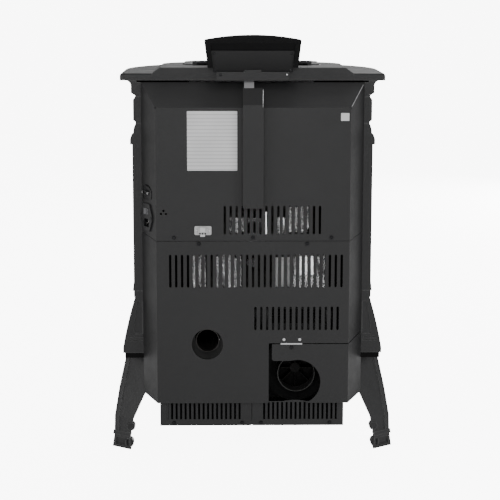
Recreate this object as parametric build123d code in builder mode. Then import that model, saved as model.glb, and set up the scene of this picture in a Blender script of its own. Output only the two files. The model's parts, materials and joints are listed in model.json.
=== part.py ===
"""Free-standing pellet stove with a bow-fronted cast body and a folded rear casing.

Millimetres, +Z up.  The front of the stove faces -Y and its back faces +Y; the
origin is on the floor under the middle of the stove.
"""
import math
import os

from build123d import *

os.makedirs("parts", exist_ok=True)

# ---------------------------------------------------------------- plan of the stove
BODY_HALF = 248.0       # outside of the cast body, and the radius of its bow
TOP_HALF = BODY_HALF + 27.0      # half width of the top plate, and the radius of its bow
SIDE_RUN = 165.0        # straight side between the castings' rear face and the bow
CASING_DEPTH = 57.0     # how far the folded rear casing stands out from the castings
DUCT_PROUD = 18.0       # the cable duct stands out this far from the casing

REAR_Y = (TOP_HALF + SIDE_RUN + CASING_DEPTH - DUCT_PROUD) / 2   # flat back of the casing
FRAME_Y = REAR_Y - CASING_DEPTH                                  # rear face of the castings
BOW_Y = FRAME_Y - SIDE_RUN                                       # axis of the bow

# ---------------------------------------------------------------- heights of the body
BASE_LOW = 199.0        # underside of the base plate, top of the legs
BASE_THICK = 11.0
KNEE_HIGH = 330.0       # top of the flared foot of the body
PANEL_LOW = 345.0       # the side castings start here
PANEL_HIGH = 699.0
FRIEZE_HIGH = 754.0
TOP_LOW = 787.5
TOP_THICK = 15.0
TOP_RAISE = 11.5        # raised middle of the top plate

WALL = 8.0              # thickness of the castings
KNEE_HALF = BODY_HALF + 27.0     # outside of the flared foot
BASE_HALF = KNEE_HALF - 4.0
CORNICE_HALF = BODY_HALF + 4.0
COVE_HALF = CORNICE_HALF + 9.0
FLANGE_THICK = 6.0
FLANGE_WIDE = 12.0      # rear flanges that carry the casing
DOOR_THICK = 10.0
JAMB_ANGLE = 50.0       # half angle of the door opening, seen from the bow's axis

BASE_HIGH = BASE_LOW + BASE_THICK
TOP_HIGH = TOP_LOW + TOP_THICK
DECK_HIGH = TOP_HIGH + TOP_RAISE
BODY_IN = BODY_HALF - WALL
FLANGE_IN = BODY_IN - FLANGE_WIDE        # inner edge of the rear flanges
DOOR_IN_R = BODY_IN                      # the fire door, seen from the bow's axis
DOOR_OUT_R = DOOR_IN_R + DOOR_THICK

# ---------------------------------------------------------------- rear casing
SHEET = 1.2             # casing sheet
CASING_HALF = BODY_IN - 8.5      # half width where the casing meets the castings
CREASE_HALF = CASING_HALF - 31.7 # half width of the flat back
CREASE_HIGH = 735.5     # top of the flat back
CASING_TOP = 784.0      # top edge of the bevel, at the castings
CASING_LOW = 115.0
SEAM_HIGH = 461.0       # between the upper and the lower cover
HATCH_HIGH = 244.0      # top of the cover over the flue
SEAM_RISE = 11.0        # the seams climb this much across the side facets
HATCH_RISE = 15.0
LOW_RISE = 10.0
SEAM_GAP = 0.9
HATCH_GAP = 2.0
RELIEF_R = 1.6          # relief holes where three folds meet

SLOT_PITCH = 12.25
SLOT_WIDE = 5.0
UPPER_SLOTS = 17
UPPER_SLOT_X = 58.2     # centre of the first slot of each row
UPPER_SLOT_LOW = 475.0
UPPER_SLOT_HIGH = 534.0
MIDDLE_SLOTS = 30
MIDDLE_SLOT_X = 171.3
MIDDLE_SLOT_LOW = 363.0
MIDDLE_SLOT_HIGH = 432.0
THIRD_SLOTS = 15
THIRD_SLOT_X = -5.2
THIRD_SLOT_LOW = 272.0
THIRD_SLOT_HIGH = 322.0

SCREW_R = 2.0           # shank of the sheet-metal screws
SCREW_HEAD_R = 4.2
SCREW_HEAD = 2.4
SCREW_LENGTH = 8.0
SCREW_FIT = 0.15

# ---------------------------------------------------------------- flue and air intake
FLUE_X = -94.0
FLUE_Z = 160.0
FLUE_R = 40.0
FLUE_WALL = 1.5
FLUE_DEPTH = 74.0       # the spigot ends this far in from the back
FLUE_OPENING_R = 48.0
INTAKE_X = 95.0
INTAKE_Z = 242.0
INTAKE_R = 25.0
INTAKE_WALL = 1.5
INTAKE_DEPTH = 35.0
INTAKE_HOLE_R = 32.5

RUN_GAP = 0.3           # clearance between pieces that only lie near each other
PIN_FIT = 0.05          # radial clearance of a shaft in its hole


def back(depth):
    """Y of a place that lies this deep in front of the flat back."""
    return REAR_Y - depth


def across(y):
    """Upright plane across the stove at this Y; extrudes towards the front."""
    return Plane.XZ.offset(-y)


def outline(*points):
    """A face inside straight lines."""
    with BuildSketch() as face:
        with BuildLine():
            Polyline(*points, close=True)
        make_face()
    return face.sketch


def bow_plan(half, rear_y=FRAME_Y, bow_y=BOW_Y):
    """Plan of the body: square at the back, half round at the front."""
    with BuildSketch() as plan:
        with BuildLine():
            Polyline((half, bow_y), (half, rear_y), (-half, rear_y), (-half, bow_y))
            ThreePointArc((-half, bow_y), (0, bow_y - half), (half, bow_y))
        make_face()
    return plan.sketch


def bow_ring(section):
    """Runs a wall section round the bow and back along both straight sides."""
    with BuildPart() as ring:
        with BuildSketch(across(BOW_Y)):
            add(section)
        revolve(axis=Axis((0, BOW_Y, 0), (0, 0, -1)), revolution_arc=180)
        with BuildSketch(across(BOW_Y)):
            add(section)
            mirror(about=Plane.YZ)
        extrude(amount=-SIDE_RUN)
    return ring.part


def rear_flanges(low, high, inner=FLANGE_IN):
    """Strips that turn inwards at the back of the castings and carry the casing."""
    wide = BODY_IN - inner
    with BuildPart() as strips:
        with BuildSketch(Plane.XY.offset(low)):
            with Locations((-inner - wide / 2, FRAME_Y - FLANGE_THICK / 2),
                           (inner + wide / 2, FRAME_Y - FLANGE_THICK / 2)):
                Rectangle(wide, FLANGE_THICK)
        extrude(amount=high - low)
    return strips.part


def bow_sector(half_angle, low, high, reach=2 * TOP_HALF):
    """Wedge-shaped space in front of the bow's axis, open this far to each side."""
    side = math.radians(half_angle)
    edge_x = reach * math.sin(side)
    edge_y = BOW_Y - reach * math.cos(side)
    with BuildPart() as wedge:
        with BuildSketch(Plane.XY.offset(low)):
            add(outline((0, BOW_Y), (edge_x, edge_y), (0, BOW_Y - 2 * reach), (-edge_x, edge_y)))
        extrude(amount=high - low)
    return wedge.part


def bow_shell(inner, outer, low, high):
    """Half-round wall in front of the bow's axis."""
    with BuildPart() as shell:
        with BuildSketch(Plane.XY.offset(low)):
            with Locations((0, BOW_Y)):
                Circle(outer)
                Circle(inner, mode=Mode.SUBTRACT)
            with Locations((0, BOW_Y + outer)):
                Rectangle(2 * outer, 2 * outer, mode=Mode.SUBTRACT)
        extrude(amount=high - low)
    return shell.part


def side_half(sign, low, high):
    """Everything on one side of the middle plane."""
    with BuildPart() as half:
        with BuildSketch(Plane.XY.offset(low)):
            with Locations((sign * TOP_HALF, 0)):
                Rectangle(2 * TOP_HALF, 4 * TOP_HALF)
        extrude(amount=high - low)
    return half.part


def finish(part, label):
    """Labels a finished piece and writes it."""
    part.label = label
    export_step(part, f"parts/{label}.step")


# ---------------------------------------------------------------- base plate
FAN_BAY_HALF = 180.0    # opening in the base plate over the fan box
FAN_BAY_DEPTH = 218.0

with BuildPart() as base_plate:
    with BuildSketch(Plane.XY.offset(BASE_LOW)):
        add(bow_plan(BASE_HALF, rear_y=back(CASING_DEPTH + 2)))
        with Locations((0, back((FAN_BAY_DEPTH + CASING_DEPTH) / 2))):
            Rectangle(2 * FAN_BAY_HALF, FAN_BAY_DEPTH - CASING_DEPTH + 10, mode=Mode.SUBTRACT)
    extrude(amount=BASE_THICK)
finish(base_plate.part, "base_plate")

# ---------------------------------------------------------------- flared foot of the body
KNEE_RIM = 12.0         # upright rim at the foot of the flare
KNEE_WALL = 14.0
KNEE_BELLY = ((KNEE_HALF + BODY_HALF) / 2 + 5, (BASE_HIGH + KNEE_HIGH) / 2 - 6)
END_PANEL_LOW = BASE_HIGH + 42
END_PANEL_HIGH = KNEE_HIGH - 8
DRAWER_LOW = 297.0      # ash drawer
DRAWER_HIGH = 343.0
DRAWER_HALF = 112.0

with BuildSketch() as knee_section:
    with BuildLine():
        Polyline((BODY_HALF + 1, KNEE_HIGH), (BODY_HALF + 2.5, KNEE_HIGH + 3),
                 (BODY_HALF + 2.5, PANEL_LOW), (BODY_IN, PANEL_LOW), (BODY_IN, KNEE_HIGH - 20),
                 (KNEE_HALF - KNEE_WALL, BASE_HIGH + KNEE_RIM),
                 (KNEE_HALF - KNEE_WALL, BASE_HIGH), (KNEE_HALF, BASE_HIGH),
                 (KNEE_HALF, BASE_HIGH + KNEE_RIM))
        ThreePointArc((KNEE_HALF, BASE_HIGH + KNEE_RIM), KNEE_BELLY, (BODY_HALF + 1, KNEE_HIGH))
    make_face()

with BuildPart() as base_skirt:
    add(bow_ring(knee_section.sketch))
    add(rear_flanges(BASE_HIGH, PANEL_LOW))
    # closed rear ends, with a recessed panel and two ledges in each
    with BuildSketch(across(FRAME_Y)):
        with BuildLine():
            Polyline((BODY_HALF + 1, KNEE_HIGH), (BODY_IN - 2, KNEE_HIGH), (BODY_IN - 2, BASE_HIGH),
                     (KNEE_HALF, BASE_HIGH), (KNEE_HALF, BASE_HIGH + KNEE_RIM))
            ThreePointArc((KNEE_HALF, BASE_HIGH + KNEE_RIM), KNEE_BELLY, (BODY_HALF + 1, KNEE_HIGH))
        make_face()
        mirror(about=Plane.YZ)
    extrude(amount=FLANGE_THICK)
    with BuildSketch(across(back(CASING_DEPTH + 1.5))):
        for side in (-1, 1):
            add(outline((side * (BODY_IN - 7), END_PANEL_LOW), (side * (BODY_IN - 7), END_PANEL_HIGH),
                        (side * (BODY_IN + 3), END_PANEL_HIGH), (side * (BODY_HALF + 4), END_PANEL_LOW)))
            with Locations((side * (BODY_HALF - 1), END_PANEL_LOW - 7),
                           (side * (BODY_HALF + 1), END_PANEL_LOW - 14)):
                Rectangle(30, 1.6)
    extrude(amount=-3, mode=Mode.SUBTRACT)
    # way through for the ash drawer
    with BuildSketch(across(BOW_Y - BODY_IN / 2)):
        with Locations((0, (DRAWER_LOW + PANEL_LOW) / 2)):
            Rectangle(2 * DRAWER_HALF + 8, PANEL_LOW - DRAWER_LOW + 3)
    extrude(amount=TOP_HALF, mode=Mode.SUBTRACT)
finish(base_skirt.part, "base_skirt")

# ---------------------------------------------------------------- side castings
PILASTER_DEEP = 30.0    # the corner pilaster, measured forward from the rear face
PILASTER_OUT = 2.5
CAPITAL_LOW = 655.0
CAPITAL_HIGH = 680.0
CAPITAL_OUT = 7.0
PANEL_MARGIN = 18.0     # cast border round the sunk side panel
PANEL_SUNK = 2.5
KNUCKLE_R = 5.0
HINGE_R = DOOR_OUT_R + 4         # door hinge axis, from the bow's axis
HINGE_ANGLE = 50.0
HINGE_Z = (400.0, 620.0)
KNUCKLE = 18.0          # height of one knuckle
KNUCKLE_GAP = 0.4
PIN_R = 3.0
DOOR_LOW = 348.5
DOOR_HIGH = 676.0
HINGE_X = HINGE_R * math.sin(math.radians(HINGE_ANGLE))
HINGE_Y = BOW_Y - HINGE_R * math.cos(math.radians(HINGE_ANGLE))

side_section = outline((BODY_IN, PANEL_LOW), (BODY_HALF, PANEL_LOW), (BODY_HALF, PANEL_HIGH - 16),
                       (BODY_HALF - 1.5, PANEL_HIGH - 8), (BODY_HALF - 5, PANEL_HIGH),
                       (BODY_IN, PANEL_HIGH))


def knuckles(low_first):
    """Hinge eyes of one leaf; the frame's stand below the door's."""
    with BuildPart() as eyes:
        for hinge_z in HINGE_Z:
            low = hinge_z + (0 if low_first else KNUCKLE + KNUCKLE_GAP)
            angle = HINGE_ANGLE + (3.0 if low_first else -3.0)
            foot_x = (BODY_HALF - 1) * math.sin(math.radians(angle))
            foot_y = BOW_Y - (BODY_HALF - 1) * math.cos(math.radians(angle))
            with BuildSketch(Plane.XY.offset(low)):
                with BuildLine():
                    arm = Line((foot_x, foot_y), (HINGE_X, HINGE_Y))
                make_hull(arm.offset_2d(KNUCKLE_R - 0.5, side=Side.BOTH).edges())
                with Locations((HINGE_X, HINGE_Y)):
                    Circle(KNUCKLE_R)
                    Circle(PIN_R + PIN_FIT, mode=Mode.SUBTRACT)
            extrude(amount=KNUCKLE)
    return eyes.part


def side_casting(sign):
    """One side of the body, with its corner pilaster and sunk panel."""
    with BuildPart() as casting:
        add(bow_ring(side_section))
        add(rear_flanges(PANEL_LOW, PANEL_HIGH))
        add(bow_sector(JAMB_ANGLE, PANEL_LOW - 1, PANEL_HIGH + 1), mode=Mode.SUBTRACT)
        add(side_half(sign, PANEL_LOW - 1, PANEL_HIGH + 1), mode=Mode.INTERSECT)
        face_x = sign * BODY_HALF
        # pilaster, its foot and its capital
        with BuildSketch(across(FRAME_Y)):
            add(outline((face_x - sign, PANEL_LOW), (face_x + sign * 5, PANEL_LOW),
                        (face_x + sign * 3.5, PANEL_LOW + 12),
                        (face_x + sign * PILASTER_OUT, PANEL_LOW + 20),
                        (face_x + sign * PILASTER_OUT, CAPITAL_LOW),
                        (face_x + sign * CAPITAL_OUT, CAPITAL_LOW),
                        (face_x + sign * CAPITAL_OUT, CAPITAL_LOW + 11),
                        (face_x + sign * 4, CAPITAL_HIGH - 5), (face_x - sign, CAPITAL_HIGH)))
        extrude(amount=PILASTER_DEEP)
        # sunk panel in the flat of the side
        panel_mid = (FRAME_Y - PILASTER_DEEP + BOW_Y) / 2
        with BuildSketch(Plane.YZ.offset(face_x - sign * PANEL_SUNK)):
            with Locations((panel_mid, (PANEL_LOW + PANEL_HIGH - 16) / 2)):
                RectangleRounded(SIDE_RUN - PILASTER_DEEP - 2 * PANEL_MARGIN,
                                 PANEL_HIGH - 16 - PANEL_LOW - 2 * PANEL_MARGIN, 12)
        extrude(amount=sign * 2 * PANEL_SUNK, mode=Mode.SUBTRACT)
    return casting.part


with BuildPart() as left_side_casting:
    add(side_casting(-1))
finish(left_side_casting.part, "left_side_casting")

with BuildPart() as right_side_casting:
    add(side_casting(1))
    add(knuckles(low_first=True))
finish(right_side_casting.part, "right_side_casting")

# ---------------------------------------------------------------- frieze with warm-air slots
HEADER_LOW = DOOR_HIGH + 3
AIR_SLOTS = 13
AIR_SLOT_PITCH = 7.0    # degrees round the bow
AIR_SLOT_WIDE = 9.0
AIR_SLOT_LOW = 714.0
AIR_SLOT_HIGH = 741.0

frieze_section = outline((BODY_IN, PANEL_HIGH), (BODY_HALF - 5, PANEL_HIGH),
                         (BODY_HALF - 5, PANEL_HIGH + 2.5), (BODY_HALF, PANEL_HIGH + 7),
                         (BODY_HALF, FRIEZE_HIGH - 6), (BODY_HALF - 4.5, FRIEZE_HIGH),
                         (BODY_IN, FRIEZE_HIGH))

with BuildPart() as header_band:
    add(bow_shell(BODY_IN, BODY_HALF - 5, HEADER_LOW, PANEL_HIGH))
    add(bow_sector(JAMB_ANGLE - 0.4, HEADER_LOW - 1, PANEL_HIGH + 1), mode=Mode.INTERSECT)

with BuildPart() as frieze:
    add(bow_ring(frieze_section))
    add(rear_flanges(PANEL_HIGH, FRIEZE_HIGH))
    add(header_band.part)
    for step in range(AIR_SLOTS):
        turn = (step - (AIR_SLOTS - 1) / 2) * AIR_SLOT_PITCH
        slot_face = Plane(origin=(0, BOW_Y, 0), x_dir=(1, 0, 0), z_dir=(0, -1, 0)).rotated((0, 0, turn))
        with BuildSketch(slot_face.offset(BODY_IN / 2)):
            with Locations((0, (AIR_SLOT_LOW + AIR_SLOT_HIGH) / 2)):
                Rectangle(AIR_SLOT_WIDE, AIR_SLOT_HIGH - AIR_SLOT_LOW)
        extrude(amount=TOP_HALF, mode=Mode.SUBTRACT)
finish(frieze.part, "frieze")

# ---------------------------------------------------------------- cornice under the top
with BuildSketch() as cornice_section:
    with BuildLine():
        Polyline((COVE_HALF, TOP_LOW), (BODY_IN, TOP_LOW), (BODY_IN, FRIEZE_HIGH),
                 (BODY_HALF - 4.5, FRIEZE_HIGH), (BODY_HALF - 4.5, FRIEZE_HIGH + 2.5),
                 (CORNICE_HALF, FRIEZE_HIGH + 8), (CORNICE_HALF, TOP_LOW - 10))
        ThreePointArc((CORNICE_HALF, TOP_LOW - 10), (CORNICE_HALF + 3, TOP_LOW - 3.5), (COVE_HALF, TOP_LOW))
    make_face()

with BuildPart() as cornice:
    add(bow_ring(cornice_section.sketch))
    add(rear_flanges(FRIEZE_HIGH, CASING_TOP))
finish(cornice.part, "cornice")

# ---------------------------------------------------------------- top plate
TOP_EDGE_R = 6.5        # rounding of the top plate's upper edge
RAISED_HALF = 208.0     # raised middle, at its foot
RAISED_RUN = 16.0       # its sloping sides
RAISED_FRONT = 308.0    # its front edge, in depth
RAISED_CORNER = 90.0
LID_HALF = 147.0        # hopper lid
LID_BACK = 160.0
LID_FRONT = 300.0
LID_CORNER = 22.0
LID_GAP = 1.5
REBATE_FLOOR = DECK_HIGH - 8
REBATE_WIDE = 8.0
LID_MID = back((LID_BACK + LID_FRONT) / 2)
LID_LONG = LID_FRONT - LID_BACK
LID_THICK = 10.0
LID_LOW = REBATE_FLOOR + RUN_GAP
LID_AXIS_Y = back(LID_BACK - 5)
LID_AXIS_Z = DECK_HIGH + 5
LID_EYE_R = 4.7
LID_EYE_X = 105.0
LID_EYE_LONG = 26.0
LID_PIN_R = 2.0
LUG_LONG = 8.0
LID_EYE_END = LID_EYE_X + LID_EYE_LONG / 2

with BuildPart() as top_plate:
    with BuildSketch(Plane.XY.offset(TOP_LOW)):
        add(bow_plan(TOP_HALF))
        fillet(vertices().group_by(Axis.Y)[-1], 8)
    extrude(amount=TOP_THICK)
    bow_rim = faces().sort_by(Axis.Z)[-1].edges().filter_by(
        lambda edge: edge.center().Y < FRAME_Y - 12)
    fillet(bow_rim, TOP_EDGE_R)
    with BuildSketch(Plane.XY.offset(TOP_HIGH)) as raised:
        with Locations((0, (FRAME_Y + back(RAISED_FRONT)) / 2)):
            Rectangle(2 * RAISED_HALF, FRAME_Y - back(RAISED_FRONT))
        fillet(raised.vertices().group_by(Axis.Y)[0], RAISED_CORNER)
    extrude(amount=TOP_RAISE, taper=math.degrees(math.atan2(RAISED_RUN, TOP_RAISE)))
    # the raised middle keeps an upright face at the back
    with BuildSketch(across(FRAME_Y)):
        add(outline((-RAISED_HALF, TOP_LOW + 1), (RAISED_HALF, TOP_LOW + 1), (RAISED_HALF, TOP_HIGH),
                    (RAISED_HALF - RAISED_RUN, DECK_HIGH), (-RAISED_HALF + RAISED_RUN, DECK_HIGH),
                    (-RAISED_HALF, TOP_HIGH)))
    extrude(amount=RAISED_RUN + 2)
    # hopper mouth with a rebate for the lid
    with BuildSketch(Plane.XY.offset(REBATE_FLOOR)):
        with Locations((0, LID_MID)):
            RectangleRounded(2 * (LID_HALF + LID_GAP), LID_LONG + 2 * LID_GAP, LID_CORNER)
    extrude(amount=2 * TOP_RAISE, mode=Mode.SUBTRACT)
    with BuildSketch(Plane.XY.offset(TOP_LOW - 1)):
        with Locations((0, LID_MID)):
            RectangleRounded(2 * (LID_HALF - REBATE_WIDE), LID_LONG - 2 * REBATE_WIDE,
                             LID_CORNER - REBATE_WIDE)
    extrude(amount=2 * TOP_THICK, mode=Mode.SUBTRACT)
    # lugs with the pins that the lid turns on
    for side in (-1, 1):
        lug_face = Plane.YZ.offset(side * (LID_EYE_END + RUN_GAP))
        with BuildSketch(lug_face):
            with Locations((LID_AXIS_Y, LID_AXIS_Z)):
                Circle(LID_EYE_R)
            with Locations((LID_AXIS_Y, (LID_AXIS_Z + DECK_HIGH - 1) / 2)):
                Rectangle(2 * LID_EYE_R, LID_AXIS_Z - DECK_HIGH + 1)
        extrude(amount=side * LUG_LONG)
        with BuildSketch(lug_face):
            with Locations((LID_AXIS_Y, LID_AXIS_Z)):
                Circle(LID_PIN_R)
        extrude(amount=-side * LID_EYE_LONG * 0.7)
finish(top_plate.part, "top_plate")

# ---------------------------------------------------------------- hopper lid
with BuildPart() as hopper_lid:
    with BuildSketch(Plane.XY.offset(LID_LOW)):
        with Locations((0, LID_MID)):
            RectangleRounded(2 * LID_HALF, LID_LONG, LID_CORNER - LID_GAP)
    extrude(amount=LID_THICK)
    fillet(faces().sort_by(Axis.Z)[-1].edges(), 3)
    # sunk middle and a lifting lip at the front
    with BuildSketch(Plane.XY.offset(LID_LOW + LID_THICK - 1.5)):
        with Locations((0, LID_MID)):
            RectangleRounded(2 * LID_HALF - 34, LID_LONG - 34, 10)
    extrude(amount=3, mode=Mode.SUBTRACT)
    with BuildSketch(Plane.XY.offset(LID_LOW + LID_THICK - 2)):
        with Locations((0, back(LID_FRONT - 6))):
            SlotOverall(80, 9)
    extrude(amount=6)
    # hinge barrels on the rear edge
    for side in (-1, 1):
        with BuildSketch(Plane.YZ.offset(side * LID_EYE_X - LID_EYE_LONG / 2)):
            add(outline((LID_AXIS_Y, LID_AXIS_Z + LID_EYE_R), (LID_AXIS_Y - 11, LID_LOW + LID_THICK),
                        (LID_AXIS_Y - 16, LID_LOW + 3), (LID_AXIS_Y - 8, LID_LOW + 3),
                        (LID_AXIS_Y - 4, LID_AXIS_Z - 3)))
            with Locations((LID_AXIS_Y, LID_AXIS_Z)):
                Circle(LID_EYE_R)
                Circle(LID_PIN_R + PIN_FIT, mode=Mode.SUBTRACT)
        extrude(amount=LID_EYE_LONG)
finish(hopper_lid.part, "hopper_lid")

# ---------------------------------------------------------------- folded rear casing
FACET_TURN = math.degrees(math.atan2(CASING_HALF - CREASE_HALF, CASING_DEPTH))
FACET_LONG = math.hypot(CASING_HALF - CREASE_HALF, CASING_DEPTH)
FACET_COS = CASING_DEPTH / FACET_LONG
FACET_SIN = (CASING_HALF - CREASE_HALF) / FACET_LONG


def facet_plane(along, height, sign=1):
    """Plane on a side facet, at this distance from its crease; x runs towards the crease."""
    place = (sign * (CREASE_HALF + along * FACET_SIN), REAR_Y - along * FACET_COS, height)
    return Plane(origin=place, x_dir=(-FACET_SIN * sign, FACET_COS, 0), z_dir=(FACET_COS * sign, FACET_SIN, 0))


def casing_block(inset, low, low_rise, high, high_rise, bevel):
    """Solid inside the casing between two seams; the inset takes off one sheet."""
    side_in = inset / FACET_COS
    crease_in = CREASE_HALF - inset * (1 - FACET_SIN) / FACET_COS
    front = CASING_DEPTH + (1 if inset else 0)
    edge = CASING_HALF - side_in + (front - CASING_DEPTH) * FACET_SIN / FACET_COS
    with BuildPart() as block:
        with BuildSketch(Plane.XY.offset(low - 1)):
            add(outline((crease_in, back(inset)), (edge, back(front)), (-edge, back(front)),
                        (-crease_in, back(inset))))
        extrude(amount=high - low + 80)
        if bevel:
            slope = (CASING_TOP - CREASE_HIGH) / CASING_DEPTH
            drop = inset * math.hypot(1, slope)
            roof = [(back(inset), CREASE_HIGH - drop + inset * slope),
                    (back(front), CASING_TOP - drop + (front - CASING_DEPTH) * slope)]
        else:
            roof = [(back(inset), high + high_rise * inset / CASING_DEPTH),
                    (back(front), high + high_rise * front / CASING_DEPTH)]
        with BuildSketch(Plane.YZ.offset(-TOP_HALF)):
            add(outline((back(inset), low + low_rise * inset / CASING_DEPTH), roof[0], roof[1],
                        (back(front), low + low_rise * front / CASING_DEPTH)))
        extrude(amount=2 * TOP_HALF, mode=Mode.INTERSECT)
    return block.part


def casing_sheet(low, low_rise, high, high_rise, bevel=False):
    """Folded sheet of the casing between two seams."""
    with BuildPart() as sheet:
        add(casing_block(0, low, low_rise, high, high_rise, bevel))
        add(casing_block(SHEET, low - 20, low_rise, high + (0 if bevel else 20), high_rise, bevel),
            mode=Mode.SUBTRACT)
    return sheet.part


def slot_row(first_x, count, low, high):
    """A row of upright slots through the flat back, running towards -X."""
    with BuildPart() as row:
        with BuildSketch(across(back(-1))):
            for step in range(count):
                with Locations((first_x - step * SLOT_PITCH, (low + high) / 2)):
                    SlotOverall(high - low, SLOT_WIDE, rotation=90)
        extrude(amount=SHEET + 2)
    return row.part


def screws(places, plane=None):
    """Pan-head screws, heads on the plane and shanks behind it."""
    with BuildPart() as group:
        base = plane or across(REAR_Y)
        with BuildSketch(base):
            with Locations(*places):
                Circle(SCREW_HEAD_R)
        extrude(amount=-SCREW_HEAD, taper=18)
        with BuildSketch(base):
            with Locations(*places):
                Circle(SCREW_R)
        extrude(amount=SCREW_LENGTH)
    return group.part


def screw_holes(places, plane=None):
    """Holes for those screws through one sheet."""
    with BuildPart() as holes:
        with BuildSketch((plane or across(REAR_Y)).offset(-1)):
            with Locations(*places):
                Circle(SCREW_R + SCREW_FIT)
        extrude(amount=SHEET + 2)
    return holes.part


UPPER_SCREWS = [(163.0, SEAM_HIGH + 7), (0.0, SEAM_HIGH + 7), (-162.0, SEAM_HIGH + 7)]
LOWER_SCREWS = [(112.0, SEAM_HIGH - 6), (-112.0, SEAM_HIGH - 6)]
HATCH_SCREWS = [(-81.0, HATCH_HIGH - 9)]

# inlet and serial port in the facet on the +X side
INLET_ALONG = 0.61 * FACET_LONG
INLET_Z = 506.0
INLET_HIGH = 57.0
INLET_WIDE = 50.0
INLET_BODY_WIDE = 27.0
INLET_BODY_HIGH = 47.0
INLET_SCREW = 40.0      # screw spacing of the standard inlet
PORT_ALONG = 0.74 * FACET_LONG - 3.5
PORT_Z = 557.0
PORT_CUT_WIDE = 34.0
PORT_CUT_HIGH = 29.0
TERMINAL_X = 103.3
TERMINAL_Z = 483.0
TERMINAL_WIDE = 35.0
TERMINAL_HIGH = 18.5
LEAD_HOLES = [(184.3, 524.0), (189.5, 517.5), (179.3, 517.5)]
LEAD_HOLE_R = 2.3

inlet_plane = facet_plane(INLET_ALONG, INLET_Z)
port_plane = facet_plane(PORT_ALONG, PORT_Z)
INLET_SCREWS = [(-INLET_SCREW / 2, 0.0), (INLET_SCREW / 2, 0.0)]

with BuildPart() as upper_rear_cover:
    add(casing_sheet(SEAM_HIGH, SEAM_RISE, CASING_TOP, 0, bevel=True))
    add(slot_row(UPPER_SLOT_X, UPPER_SLOTS, UPPER_SLOT_LOW, UPPER_SLOT_HIGH), mode=Mode.SUBTRACT)
    add(screw_holes(UPPER_SCREWS), mode=Mode.SUBTRACT)
    # relief holes at the corners of the fold lines
    for side in (-1, 1):
        corner = Plane(origin=(side * CREASE_HALF, REAR_Y, CREASE_HIGH), z_dir=(side * 0.25, 0.9, 0.35))
        with BuildSketch(corner.offset(-4)):
            Circle(RELIEF_R)
        extrude(amount=8, mode=Mode.SUBTRACT)
    # sensor lead holes and the wire entry under the terminal block
    with BuildSketch(across(back(-1))):
        with Locations(*LEAD_HOLES):
            Circle(LEAD_HOLE_R)
        with Locations((TERMINAL_X, TERMINAL_Z)):
            Rectangle(TERMINAL_WIDE - 14, TERMINAL_HIGH - 8)
    extrude(amount=SHEET + 2, mode=Mode.SUBTRACT)
    # inlet and port
    with BuildSketch(inlet_plane.offset(-4)):
        Rectangle(INLET_BODY_WIDE + 1, INLET_BODY_HIGH + 1)
        with Locations(*INLET_SCREWS):
            Circle(SCREW_R + SCREW_FIT)
    extrude(amount=8, mode=Mode.SUBTRACT)
    with BuildSketch(port_plane.offset(-4)):
        RectangleRounded(PORT_CUT_WIDE, PORT_CUT_HIGH, 7)
    extrude(amount=8, mode=Mode.SUBTRACT)
finish(upper_rear_cover.part, "upper_rear_cover")

FLUE_CUT_X = -33.3      # edge of the lower cover beside the flue cover
ARM_END_X = -40.0       # end of the arm of the flue cover

with BuildPart() as lower_rear_cover:
    add(casing_sheet(CASING_LOW, LOW_RISE, SEAM_HIGH - SEAM_GAP, SEAM_RISE))
    add(slot_row(MIDDLE_SLOT_X, MIDDLE_SLOTS, MIDDLE_SLOT_LOW, MIDDLE_SLOT_HIGH), mode=Mode.SUBTRACT)
    add(slot_row(THIRD_SLOT_X, THIRD_SLOTS, THIRD_SLOT_LOW, THIRD_SLOT_HIGH), mode=Mode.SUBTRACT)
    add(screw_holes(LOWER_SCREWS), mode=Mode.SUBTRACT)
    with BuildSketch(across(back(-1))):
        with Locations((INTAKE_X, INTAKE_Z)):
            Circle(INTAKE_HOLE_R)
    extrude(amount=SHEET + 2, mode=Mode.SUBTRACT)
    # corner left open for the flue cover
    with BuildSketch(Plane.YZ.offset(FLUE_CUT_X)):
        add(outline((back(-1), 0), (back(-1), HATCH_HIGH - HATCH_RISE / CASING_DEPTH),
                    (back(CASING_DEPTH + 2), HATCH_HIGH + HATCH_RISE * (1 + 2 / CASING_DEPTH)),
                    (back(CASING_DEPTH + 2), 0)))
    extrude(amount=-TOP_HALF, mode=Mode.SUBTRACT)
finish(lower_rear_cover.part, "lower_rear_cover")

with BuildPart() as exhaust_cover:
    add(casing_sheet(CASING_LOW, LOW_RISE, HATCH_HIGH - HATCH_GAP, HATCH_RISE))
    add(side_half(-1, 0, HATCH_HIGH + 2 * HATCH_RISE), mode=Mode.INTERSECT)
    with BuildSketch(across(back(-1))):
        # way for the flue pipe, open downwards and towards the middle
        with Locations((FLUE_X, FLUE_Z)):
            Circle(FLUE_OPENING_R)
        add(outline((FLUE_X - 12, CASING_LOW - 10), (FLUE_X, FLUE_Z), (FLUE_X, FLUE_Z + FLUE_OPENING_R - 2),
                    (10, FLUE_Z + FLUE_OPENING_R - 2), (10, CASING_LOW - 10)))
        # end of the arm
        add(outline((ARM_END_X, HATCH_HIGH + 10), (10, HATCH_HIGH + 10), (10, CASING_LOW), (ARM_END_X, CASING_LOW)))
    extrude(amount=SHEET + 2, mode=Mode.SUBTRACT)
    add(screw_holes(HATCH_SCREWS), mode=Mode.SUBTRACT)
    arm_corners = exhaust_cover.edges().filter_by(Axis.Y).filter_by(
        lambda edge: abs(edge.center().X - ARM_END_X) < 0.5)
    fillet(arm_corners, 5)
finish(exhaust_cover.part, "exhaust_cover")

# ---------------------------------------------------------------- lip bracket of the flue cover
BRACKET_X = -80.5
BRACKET_WIDE = 45.0
LIP_OUT = 1.6           # its rolled lip stands out over the seam
LIP_HEIGHT = 2.8
RIVET_X = (-65.0, -98.0)
RIVET_R = 3.4

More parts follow.
